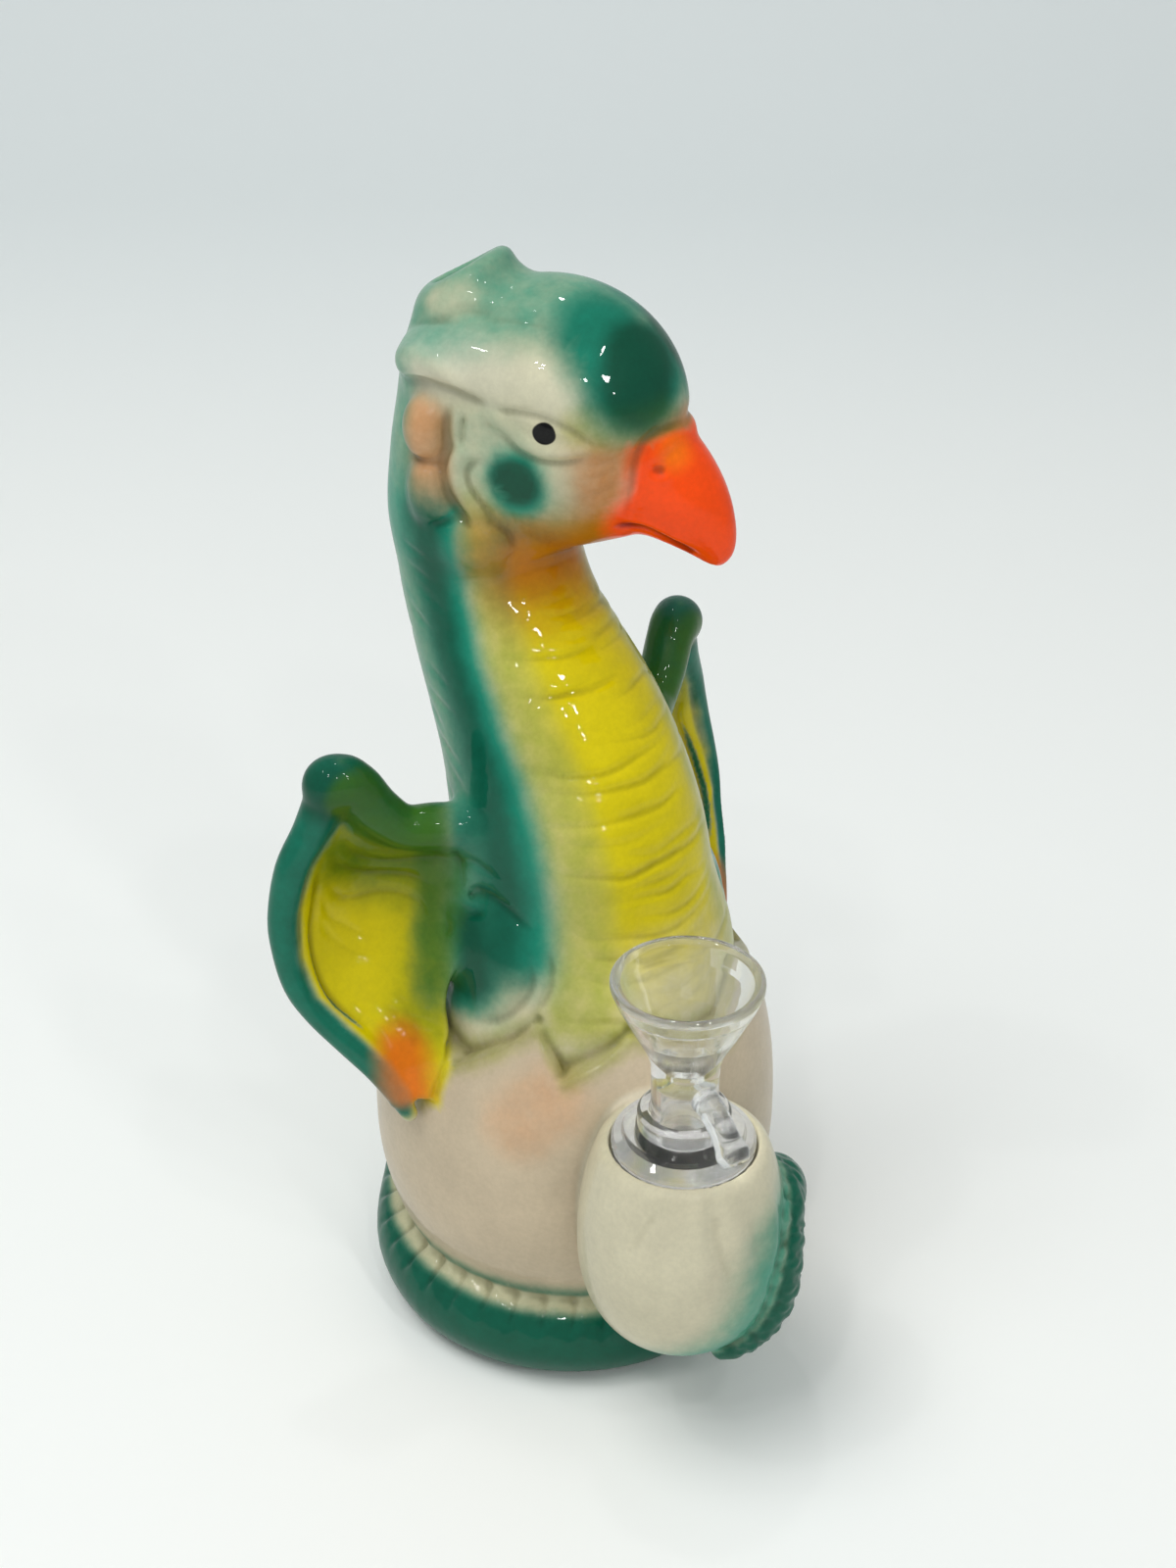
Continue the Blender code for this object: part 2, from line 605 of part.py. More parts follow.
def port_cutter():
    """The water port through the egg's wall, aimed at the socket."""
    shape = bmesh.new()
    line = Vector((SOCKET_AXIS[0], SOCKET_AXIS[1], 0)).normalized()
    across = Vector((0, 0, 1))
    rows = [circle_points(line * d + Vector((0, 0, PORT_HEIGHT)), across, line.cross(across), PORT_RADIUS,
                          PORT_RADIUS, 16) for d in (34, 50)]
    bridge(shape, rows, cap_start=True, cap_end=True)
    bmesh.ops.recalc_face_normals(shape, faces=shape.faces)
    return hide_cutter(mesh_object("port_cutter", shape, CUTTERS))


# ---- glass ---------------------------------------------------------------------------------------
def bowl_handle():
    points = []
    for along, height, radius in HANDLE:
        place = Vector((SOCKET_AXIS[0], SOCKET_AXIS[1], 0)) + HANDLE_DIRECTION * along
        points.append((Vector((place.x, place.y, height)), radius))
    return tube_mesh("bowl_handle", points, PARTS, 2)


def axis_empty(name):
    """The empty that carries the pieces turning and sliding on the socket's axis."""
    empty = new_object(name, None, PARTS)
    empty.location = (SOCKET_AXIS[0] * MM, SOCKET_AXIS[1] * MM, SEAT_HEIGHT * MM)
    bpy.context.view_layer.update()
    return empty


def hang_on(child, parent):
    child.parent = parent
    child.matrix_parent_inverse = parent.matrix_world.inverted()


def main():
    port = port_cutter()
    egg_cut = egg_envelope()
    body_cut = body_envelope()
    socket_cut = socket_envelope()
    table = table_cutter()
    bore = mouthpiece_bore()
    crack_cutter = egg_surface("crack_cutter", GAP, GAP, CUTTERS)
    solidify(crack_cutter, WALL + 3.0)
    hide_cutter(crack_cutter)

    pieces = [
        (egg_shell(port), "pink_glaze"),
        (body_and_neck(crack_cutter), "yellow_glaze"),
        (head(body_cut, bore), "cream_glaze"),
        (mouthpiece(bore), "teal_glaze"),
        (wing("right_wing", -1, (egg_cut, crack_cutter, body_cut)), "olive_glaze"),
        (wing("left_wing", 1, (egg_cut, crack_cutter, body_cut)), "olive_glaze"),
        (bowl_socket((egg_cut,)), "pink_glaze"),
        (tail((egg_cut, socket_cut, table)), "teal_glaze"),
        (turned("grommet", GROMMET, GLASS_STEPS), "black_rubber"),
        (turned("downstem", DOWNSTEM, GLASS_STEPS), "clear_glass"),
        (turned("glass_bowl", BOWL, GLASS_STEPS), "clear_glass"),
        (bowl_handle(), "clear_glass"),
    ]
    for obj, look in pieces:
        obj.data.materials.clear()
        obj.data.materials.append(make_material(f"{obj.name}_{look}", *LOOKS[look]))
    carrier = axis_empty("glass_axis")
    for name in ("grommet", "downstem", "glass_bowl", "bowl_handle"):
        hang_on(bpy.data.objects[name], carrier)


main()
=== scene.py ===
"""A glazed ceramic water pipe: a hatchling in its cracked egg, with a clear glass bowl.

The figure is clay on a grid: lumps and limbs are joined softly, lines are scored into the
surface, and the skin of the clay becomes one closed mesh. Sizes in the clay are millimetres.
The colours are sprays of stain under a clear glaze, kept on the mesh as attributes.
"""
import math

import bmesh
import bpy
import numpy as np
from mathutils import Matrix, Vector


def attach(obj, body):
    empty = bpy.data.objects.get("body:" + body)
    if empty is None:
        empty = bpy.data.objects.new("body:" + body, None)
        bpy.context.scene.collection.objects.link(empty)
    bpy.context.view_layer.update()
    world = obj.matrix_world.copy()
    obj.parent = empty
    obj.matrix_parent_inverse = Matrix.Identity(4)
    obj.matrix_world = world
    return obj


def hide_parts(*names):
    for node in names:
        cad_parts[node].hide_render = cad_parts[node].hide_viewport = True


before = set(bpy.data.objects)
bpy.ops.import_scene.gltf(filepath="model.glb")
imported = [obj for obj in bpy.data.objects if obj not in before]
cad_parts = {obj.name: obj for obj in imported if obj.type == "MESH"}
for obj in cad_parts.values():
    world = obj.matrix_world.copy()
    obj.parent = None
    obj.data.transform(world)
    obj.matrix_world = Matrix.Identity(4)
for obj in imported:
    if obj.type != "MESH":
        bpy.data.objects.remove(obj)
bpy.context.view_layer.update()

MM = 0.001
CELL = 0.62      # side of a grid cell
FAR = 9.0                               # distances are kept no further than this
MARGIN = 9.0                            # room round each lump in its own grid
ROOM_LOW, ROOM_HIGH = (-84, -90, -9), (84, 58, 250)     # the grid that holds the whole figure
SKIN_TRIANGLES = 190000
POOLING_REACH = 1.9

# ---- the egg
EGG_RADIUS = 45.0
EGG_MIDDLE = 46.0
EGG_ABOVE = 58.0
EGG_BELOW = 52.0
EGG_FULLNESS = 2.5
HAUNCH = ((20.5, -4.5, 98.5), (11.8, 13.5, 14))
# cracked edge: angle from the front towards the figure's right, height
CRACK = ((24, 87.5), (46, 80.5), (55, 90), (81, 79), (108, 86.5), (136, 78), (166, 88),
         (190, 79.5), (216, 87), (243, 78.5), (268, 88.5), (292, 80), (318, 87), (346, 79.5))

# ---- body and neck: x, y, z and radius along the centre line
BODY = ((0, 0, 72, 35.5), (0, -0.5, 80, 35.2), (0, -1, 88, 34), (0, -2, 97, 30.8),
        (0, -2.9, 105.6, 28.1), (0, -1.6, 117, 26.9), (0, 1.6, 128, 25.5), (0, 6.2, 138.5, 23.8),
        (0, 13.2, 149, 21.8), (0, 20.4, 160, 20), (0, 25.2, 172, 19.2), (0, 26.6, 184, 18.8))

# ---- head, in its own axes: along the beak, to the figure's left, up
NECK_AXIS_Y = 25.0
HEAD_TURN = math.radians(25)
FORWARD = np.array([math.sin(HEAD_TURN), -math.cos(HEAD_TURN), 0.0])
SIDEWAYS = np.array([math.cos(HEAD_TURN), math.sin(HEAD_TURN), 0.0])
SKULL = ((15, 0, 209), (27, 19, 24.5))
JAW = ((15, 0, 196), (24, 17, 17))
NECK_TOP = ((-1.5, 184.3, 18.8), (-1.8, 194, 18.5), (-1.5, 205, 17), (-2, 214, 15),
            (-2.5, 221, 11.5))
BEAK = ((28, 197.5, 14.2), (33, 196.8, 12.9), (37.4, 194.6, 11.4), (42.2, 191, 9.2),
        (46.2, 186.8, 6.6), (48.6, 183.2, 4.3), (49.4, 180.6, 2.1))
BEAK_SLIMNESS = 1.2                     # its height over its width
MOUTHPIECE = ((0.5, 217, 13.5), (-1.2, 223, 12.2), (-3.2, 229, 10.6), (-4.6, 233.4, 9.8))
CREST_TOP = (-4.6, 233)                 # its flat end passes here, leaning back
CREST_LEAN = math.radians(33)
BORE = ((-3, 226, 5.5), (-9, 243, 5.5))
BROW = ((-8.4, 12.8, 218.3, 3.8), (-4, 13.8, 219.2, 4.4), (3, 14.2, 219, 5.2),
        (11, 14, 217.5, 5.6), (20, 13, 215.5, 5.4), (29, 10.4, 212.2, 4.6))
LOBES = (((-5.8, 15.6, 205.6), (5, 5.6, 7)), ((-4.8, 16, 192.8), (5.4, 5.6, 7.8)),
         ((3.4, 15.4, 182.4), (7.8, 5.8, 6.6)))
# the rolled edge at the brow's back end
LIP = ((-9.6, 13, 217.2, 1.9), (-9.2, 15.4, 218.4, 2.3), (-5.6, 17, 218.8, 2.2),
       (-0.6, 17.4, 217.6, 1.6))
EYE = (20.2, 18.2, 209.0)
EYE_RADIUS = 2.5

# ---- wings: rows of height, inner edge, outer edge, and stand-off of inner, middle, outer
WING_ROOT = np.array([-27.0, 6.0, 0.0])
WING_DIRECTION = np.array([-0.85, 0.527, 0.0])
WING_FRONT = np.array([-0.527, -0.85, 0.0])
WING_HALF_WALL = 2.0
WING_TOP = ((8, 22), (128, 138))        # along, and the height of the skin's upper edge there
WING_BOTTOM = 69
LEFT_WING_SHIFT = (-2.0, 4.5)           # the left wing sits nearer the neck and higher
WING_ROWS = ((129, 3, 28, 0, -1, 0), (120, 0, 33, 0, -4, 1.5), (112, 2, 36, 1, -6, 3),
             (102, 5, 36.4, 4, -3, 5), (91.5, 8, 32.6, 8, 3, 8), (84.5, 8, 26.6, 11, 8, 11),
             (78.5, 9, 20.6, 13, 11.5, 13), (71, 11.5, 17, 14, 13.5, 14))
# along, height, stand-off, radius
ARM = ((-6, 125, 0, 5.4), (4, 126.6, 0, 5), (11, 127.4, 0, 4.6), (16.4, 132.2, 0.4, 5),
       (20.6, 138.3, 0.8, 5.2), (25, 140.6, 1.2, 5))
KNOB = ((22.8, 140.4, 1.4, 5), (26, 139.6, 1.6, 5))
RIM = ((25.6, 139, 1, 4.4), (30, 129.5, 1.5, 3.8), (34.3, 121, 2, 3.7), (36.6, 111, 3, 3.6),
       (36.6, 104, 4.5, 3.5), (35, 96, 6.5, 3.4), (31.5, 89.5, 8, 3.2), (26, 83, 10.5, 3),
       (20.5, 76.5, 12.5, 2.8), (16.5, 70, 13.8, 2.4), (14.2, 65, 14.3, 1.8))

# ---- socket for the glass
SOCKET_AXIS = (-19.8, -53.9)
SOCKET_RADIUS = 21.6
SOCKET_MIDDLE = 52.0
SOCKET_ABOVE = 38.5
SOCKET_BELOW = 26.0
SOCKET_FULLNESS = 2.4
SOCKET_TOP = 76.0
MOUTH_RADIUS = 15.1
SEAT_RADIUS = 12.9
SEAT_HEIGHT = 73.2
SOCKET_FLOOR = 34.0

# ---- tail
TAIL_COIL_RADIUS = 36.0
# round the egg: angle, height, radius; then the end that hooks up over the socket: x, y, z, radius
TAIL_COIL = ((208, 47, 9), (190, 36, 11), (168, 23, 11.2), (146, 14, 10.8),
             (120, 11, 10.7), (92, 10.4, 10.8), (66, 10.4, 10.8), (42, 10.3, 10.6),
             (20, 10, 10.2), (2, 10.2, 9.6))
TAIL_HOOK = ((4.5, -42.5, 16, 8.8), (7.6, -47.5, 27, 8.4), (7.2, -52, 39, 8),
             (4.6, -56.5, 49.6, 7.6), (-0.6, -61.3, 56.6, 7.2), (-5.8, -66.4, 55.8, 6.9),
             (-8.8, -69.6, 48.4, 6.6), (-10.8, -70.4, 40, 6.2), (-14, -69.4, 33.2, 5.2),
             (-16.8, -67.6, 29, 3.8), (-19.2, -66, 26.8, 2.2))

# ---- grommet and glass, radius and height about the socket's axis
DOWNSTEM = ((7.1, 84), (8.9, 84), (9.5, 83.3), (9.5, 80.4), (12.2, 79.6), (12.6, 78.4),
            (14.2, 77.4), (14.7, 76.6), (14.7, 75.3), (8.8, 75.3), (8.8, 60), (6, 56),
            (6, 34), (4.4, 34), (4.4, 62), (6.6, 63.5))
BOWL = ((14.4, 115.6), (15.2, 115), (15.2, 113.8), (14, 110.6), (10.8, 104),
        (8, 98.6), (7, 95.4), (6.8, 91), (6.8, 84.2), (6.25, 64), (4.6, 64), (4.6, 90),
        (2.2, 92.5), (2.2, 95), (5, 98.6), (8.6, 104), (11.8, 110.6), (13, 114.4))
HANDLE_DIRECTION = np.array([-0.258, -0.966, 0.0])
HANDLE = ((7.2, 91, 2.9), (10, 90.6, 2.8), (13.5, 89, 2.75), (16.5, 86.9, 2.9),
          (18.6, 85.3, 3.5), (20.2, 84.1, 2.6))


# ---- small mathematics
def smooth_path(stations, steps=6):
    """Points of a smooth curve through the stations, with steps points to each stretch."""
    points = np.array(stations, float)
    ends = np.vstack([2 * points[0] - points[1], points, 2 * points[-1] - points[-2]])
    t = np.linspace(0, 1, steps, endpoint=False)[:, None]
    runs = []
    for a, b, c, d in zip(ends, ends[1:], ends[2:], ends[3:]):
        cubic = (3 * b - a - 3 * c + d) * t ** 3
        runs.append(0.5 * (2 * b + (c - a) * t + (2 * a - 5 * b + 4 * c - d) * t ** 2 + cubic))
    return np.vstack(runs + [points[-1:]])


def ease(value, start, end):
    """0 at start, 1 at end, with a soft turn at both; start may be above end."""
    t = np.clip((value - start) / (end - start), 0, 1)
    return t * t * (3 - 2 * t)


def soft_least(a, b, blend):
    """The lesser of two distances, rounded over where they come within blend of each other."""
    if blend <= 0:
        return np.minimum(a, b)
    meet = np.maximum(blend - np.abs(a - b), 0) / blend
    return np.minimum(a, b) - meet * meet * (blend / 4)


def soft_most(a, b, blend):
    return -soft_least(-a, -b, blend)


def head_place(along, left, height):
    """A place in the head's axes, as x, y, z."""
    return np.array([0, NECK_AXIS_Y, height]) + along * FORWARD + left * SIDEWAYS


def head_axes(x, y):
    """How far along the beak and how far to the figure's left a place lies."""
    along = x * FORWARD[0] + (y - NECK_AXIS_Y) * FORWARD[1]
    left = x * SIDEWAYS[0] + (y - NECK_AXIS_Y) * SIDEWAYS[1]
    return along, left


def wing_place(along, height, stand_off, side):
    """A place on the wing, as x, y, z; side is -1 for the right wing and 1 for the left."""
    if side > 0:
        along, height = along + LEFT_WING_SHIFT[0], height + LEFT_WING_SHIFT[1]
    place = WING_ROOT + along * WING_DIRECTION + stand_off * WING_FRONT + np.array([0, 0, height])
    return place * np.array([-side, 1, 1])


def wing_axes(x, y, z, side):
    """How far along a wing, how high on it and how far before it a place lies."""
    x = -side * x - WING_ROOT[0]
    y = y - WING_ROOT[1]
    shift = LEFT_WING_SHIFT if side > 0 else (0, 0)
    along = x * WING_DIRECTION[0] + y * WING_DIRECTION[1] - shift[0]
    return along, z - shift[1], x * WING_FRONT[0] + y * WING_FRONT[1]


# ---- clay
class Clay:
    """Clay on a grid: each cell holds its distance to the surface, below zero inside the clay."""

    def __init__(self, low, high):
        self.first = np.floor(np.array(low) / CELL).astype(int)
        self.count = np.ceil(np.array(high) / CELL).astype(int) - self.first + 1
        self.field = np.full(self.count, FAR, np.float32)

    def axes(self, start, stop):
        lines = [CELL * np.arange(first + a, first + b, dtype=np.float32)
                 for first, a, b in zip(self.first, start, stop)]
        return np.meshgrid(*lines, indexing="ij", sparse=True)

    def window(self, low, high):
        """The part of the grid between two corners: its slices, and its x, y and z."""
        start = np.clip(np.floor(np.array(low) / CELL).astype(int) - self.first, 0, self.count)
        stop = np.clip(np.ceil(np.array(high) / CELL).astype(int) + 1 - self.first, 0, self.count)
        return tuple(slice(a, b) for a, b in zip(start, stop)), self.axes(start, stop)

    def shared(self, part):
        """The cells that this grid and another's have in common, as slices of both."""
        start = np.maximum(self.first, part.first)
        stop = np.minimum(self.first + self.count, part.first + part.count)
        mine = tuple(slice(a - f, b - f) for a, b, f in zip(start, stop, self.first))
        its = tuple(slice(a - f, b - f) for a, b, f in zip(start, stop, part.first))
        return mine, its

    def join(self, part, blend):
        mine, its = self.shared(part)
        self.field[mine] = soft_least(self.field[mine], part.field[its], blend)

    def cut(self, part, blend):
        mine, its = self.shared(part)
        self.field[mine] = soft_most(self.field[mine], -part.field[its], blend)

    def at(self, points, field=None):
        """The distance at each point, read between the cells."""
        field = self.field if field is None else field
        place = np.asarray(points) / CELL - self.first
        inside = ((place >= 0) & (place < self.count - 1.001)).all(axis=1)
        place = np.clip(place, 0, self.count - 1.001)
        base = place.astype(int)
        part = place - base
        total = np.zeros(len(place))
        for corner in range(8):
            step = np.array([corner & 1, corner >> 1 & 1, corner >> 2 & 1])
            share = np.prod(np.where(step, part, 1 - part), axis=1)
            total += share * field[tuple((base + step).T)]
        return np.where(inside, total, FAR)

    def lean(self, points):
        """The outward direction of the surface near each point."""
        points = np.asarray(points, float)
        slope = np.empty_like(points)
        for axis in range(3):
            step = np.zeros(3)
            step[axis] = CELL * 0.75
            slope[:, axis] = self.at(points + step) - self.at(points - step)
        return slope / np.maximum(np.linalg.norm(slope, axis=1, keepdims=True), 1e-9)

    def settle(self, points, rounds=4):
        """The points moved onto the surface."""
        points = np.array(points, float)
        for _ in range(rounds):
            points -= self.at(points)[:, None] * self.lean(points)
        return points

    def score(self, stations, width, depth, taper=0.25, smooth=True):
        """Scores a line into the surface along the stations; a negative depth raises a ridge."""
        if smooth and len(stations) > 2:
            stations = smooth_path(stations, 5)
        path = self.settle(stations)
        reach = 2.6 * width
        parts, axes = self.window(path.min(axis=0) - reach, path.max(axis=0) + reach)
        press = np.zeros(self.field[parts].shape, np.float32)
        last = len(path) - 1
        for number, (start, end) in enumerate(zip(path, path[1:])):
            low = np.minimum(start, end) - reach
            high = np.maximum(start, end) + reach
            inner, near = self.window(low, high)
            local = tuple(slice(a.start - b.start, a.stop - b.start) for a, b in zip(inner, parts))
            ends = min(number + 1, last - number) / max(last * taper, 1e-6)
            strength = min(1.0, ends) if taper else 1.0
            gap = round_bar(near, np.append(start, 0), np.append(end, 0))
            press[local] = np.maximum(press[local], strength * np.exp(-(gap / width) ** 2))
        self.field[parts] += depth * press


def lump(low, high, shape):
    """Clay of its own in the box from low to high, of the shape that a distance rule gives."""
    part = Clay(low, high)
    distance = np.broadcast_to(shape(*part.axes((0, 0, 0), part.count)), part.count)
    part.field = np.clip(distance, -FAR, FAR).astype(np.float32)
    return part


def round_bar(axes, start, end):
    """Distance to a straight bar from start to end, whose fourth number is the radius there."""
    x, y, z = (line - value for line, value in zip(axes, start[:3]))
    run = end[:3] - start[:3]
    along = np.clip((x * run[0] + y * run[1] + z * run[2]) / max(run @ run, 1e-9), 0, 1)
    squares = [(line - along * step) ** 2 for line, step in zip((x, y, z), run)]
    return np.sqrt(squares[0] + squares[1] + squares[2]) - (start[3] + along * (end[3] - start[3]))


def limb(stations, steps=6):
    """Clay rolled along stations of x, y, z and radius."""
    path = smooth_path(stations, steps)
    part = Clay((path[:, :3] - path[:, 3:]).min(axis=0) - MARGIN,
                (path[:, :3] + path[:, 3:]).max(axis=0) + MARGIN)
    for start, end in zip(path, path[1:]):
        reach = max(start[3], end[3]) + MARGIN
        parts, axes = part.window(np.minimum(start, end)[:3] - reach,
                                  np.maximum(start, end)[:3] + reach)
        part.field[parts] = np.minimum(part.field[parts], round_bar(axes, start, end))
    return part


def oval(axes, centre, radii):
    """Distance to an ellipsoid."""
    offsets = [line - value for line, value in zip(axes, centre)]
    size = np.sqrt(sum((o / r) ** 2 for o, r in zip(offsets, radii)))
    slope = np.sqrt(sum((o / r ** 2) ** 2 for o, r in zip(offsets, radii)))
    return size * (size - 1) / np.maximum(slope, 1e-6)


def turned_egg(radius_here, height, radius, above, below, full_above, full_below):
    """Distance to a turned egg; height is measured from its widest level."""
    reach = np.where(height > 0, above, below)
    fullness = np.where(height > 0, full_above, full_below)
    u = np.maximum(radius_here / radius, 1e-4)
    v = np.maximum(np.abs(height) / reach, 1e-4)
    size = (u ** fullness + v ** fullness) ** (1 / fullness)
    slope_u = (u / size) ** (fullness - 1) / radius
    slope_v = (v / size) ** (fullness - 1) / reach
    return (size - 1) / np.hypot(slope_u, slope_v)


# ---- lumps of the figure
def crack_height(x, y):
    """Height of the cracked edge in the direction of a place."""
    angle = np.degrees(np.arctan2(-x, -y)) % 360
    angles = np.array([a for a, _ in CRACK], float)
    heights = np.array([h for _, h in CRACK], float)
    return np.interp(angle, angles, heights, period=360)


def egg():
    """The eggshell: a turned egg cut off at the cracked edge."""
    def shape(x, y, z):
        whole = turned_egg(np.hypot(x, y), z - EGG_MIDDLE, EGG_RADIUS, EGG_ABOVE, EGG_BELOW,
                           EGG_FULLNESS, 2.0)
        return soft_most(whole, (z - crack_height(x, y)) * 0.75, 1.6)
    return lump((-55, -55, -9), (55, 55, 100), shape)


def haunch(side):
    """The soft thigh that swells over the egg's edge."""
    (across, y, z), radii = HAUNCH
    centre = (side * across, y, z)
    low = (centre[0] - 24, -30, 74)
    high = (centre[0] + 24, 22, 126)
    return lump(low, high, lambda *axes: oval(axes, centre, radii))


def head_limb(stations, steps):
    """Clay rolled along stations of along, left, height and radius in the head's axes."""
    return limb([(*head_place(a, b, z), r) for a, b, z, r in stations], steps)


def middle_limb(stations, steps):
    """The same along the head's middle, where stations have no left."""
    return head_limb([(a, 0, z, r) for a, z, r in stations], steps)


def beak():
    stations = smooth_path(BEAK, 4)

    def shape(x, y, z):
        along, left = head_axes(x, y)
        nearest = np.full(np.broadcast_shapes(along.shape, z.shape), FAR, np.float32)
        for start, end in zip(stations, stations[1:]):
            a = np.array([start[0], 0, start[1], start[2]])
            b = np.array([end[0], 0, end[1], end[2]])
            nearest = np.minimum(nearest, round_bar((along, left * BEAK_SLIMNESS, z), a, b))
        return nearest
    return lump((-10, -42, 168), (45, 12, 222), shape)


def head():
    """The skull, jaw, brows, beak and the ruff behind the cheeks, all in one."""
    whole = Clay((-40, -40, 166), (45, 55, 248))
    whole.join(middle_limb(NECK_TOP, 6), 0)

    def rounded(centre, radii):
        def shape(x, y, z):
            return oval((*head_axes(x, y), z), centre, radii)
        return lump((-38, -38, 168), (43, 50, 246), shape)
    whole.join(rounded(*SKULL), 6)
    whole.join(rounded(*JAW), 6)
    whole.join(beak(), 3.2)
    for side in (-1, 1):
        for stations, steps, blend in ((BROW, 5, 7), (LIP, 4, 2.5)):
            placed = [(a, side * b, z, r) for a, b, z, r in stations]
            whole.join(head_limb(placed, steps), blend)
        for (a, b, z), radii in LOBES:
            whole.join(rounded((a, side * b, z), radii), 1.3)
    return whole


def mouthpiece():
    """The crest, cut off square to its lean."""
    crest = middle_limb(MOUTHPIECE, 4)

    def beyond(x, y, z):
        along, _ = head_axes(x, y)
        return ((CREST_TOP[0] - along) * -math.sin(CREST_LEAN)
                - (z - CREST_TOP[1]) * math.cos(CREST_LEAN))
    crest.cut(lump((-40, -20, 205), (40, 60, 250), beyond), 3.2)
    return crest


def cupped(t, near, middle, far):
    """Stand-off of the wing's skin at share t of its width, through three stand-offs."""
    return near * (1 - t) * (1 - 2 * t) + middle * 4 * t * (1 - t) + far * t * (2 * t - 1)


def wing_sheet(side):
    """The cupped skin of a wing, between its arm and its rim."""
    rows = smooth_path(WING_ROWS[::-1], 6)

    def shape(x, y, z):
        along, z, off = wing_axes(x, y, z, side)
        inner, outer, *offs = (np.interp(z, rows[:, 0], rows[:, i]) for i in range(1, 6))
        t = np.clip((along - inner) / (outer - inner), -0.15, 1.15)
        sheet = np.abs(off - cupped(t, *offs)) * 0.85 - WING_HALF_WALL
        top = np.interp(along, *WING_TOP)
        sides = np.maximum(inner - 3 - along, along - outer)
        edge = np.maximum(sides, np.maximum(z - top, WING_BOTTOM - z))
        return soft_most(sheet, edge, 2.0)
    corners = np.array([wing_place(a, 100, o, side) for a in (-6, 42) for o in (-14, 22)])
    low = corners.min(axis=0) - 4
    high = corners.max(axis=0) + 4
    return lump((low[0], low[1], 58), (high[0], high[1], 152), shape)


def wing_limb(stations, side):
    return limb([(*wing_place(a, h, o, side), r) for a, h, o, r in stations], 5)


def wing(side):
    sheet = wing_sheet(side)
    low = sheet.first * CELL
    high = (sheet.first + sheet.count) * CELL
    whole = Clay((low[0] - 6, low[1] - 6, 48), (high[0] + 6, high[1] + 6, 166))
    whole.join(sheet, 0)
    whole.join(wing_limb(RIM, side), 2.2)
    whole.join(wing_limb(ARM, side), 2.6)
    whole.join(wing_limb(KNOB, side), 1.5)
    return whole


def socket():
    """The small egg that holds the glass."""
    def shape(x, y, z):
        across = np.hypot(x - SOCKET_AXIS[0], y - SOCKET_AXIS[1])
        whole = turned_egg(across, z - SOCKET_MIDDLE, SOCKET_RADIUS, SOCKET_ABOVE, SOCKET_BELOW,
                           2.0, SOCKET_FULLNESS)
        return soft_most(whole, z - SOCKET_TOP, 2.4)
    x, y = SOCKET_AXIS
    return lump((x - 32, y - 32, 16), (x + 32, y + 32, 86), shape)


def socket_hollow():
    """The recess for the flange, and the well below it."""
    def shape(x, y, z):
        across = np.hypot(x - SOCKET_AXIS[0], y - SOCKET_AXIS[1])
        mouth = np.maximum(across - MOUTH_RADIUS, SEAT_HEIGHT - z)
        well = np.maximum(across - SEAT_RADIUS, SOCKET_FLOOR - z)
        return np.minimum(mouth, well)
    x, y = SOCKET_AXIS
    return lump((x - 20, y - 20, 26), (x + 20, y + 20, 90), shape)


def tail_stations():
    coil = []
    for angle, height, radius in TAIL_COIL:
        turn = math.radians(angle)
        coil.append((-TAIL_COIL_RADIUS * math.sin(turn), -TAIL_COIL_RADIUS * math.cos(turn),
                     height, radius))
    return coil + list(TAIL_HOOK)


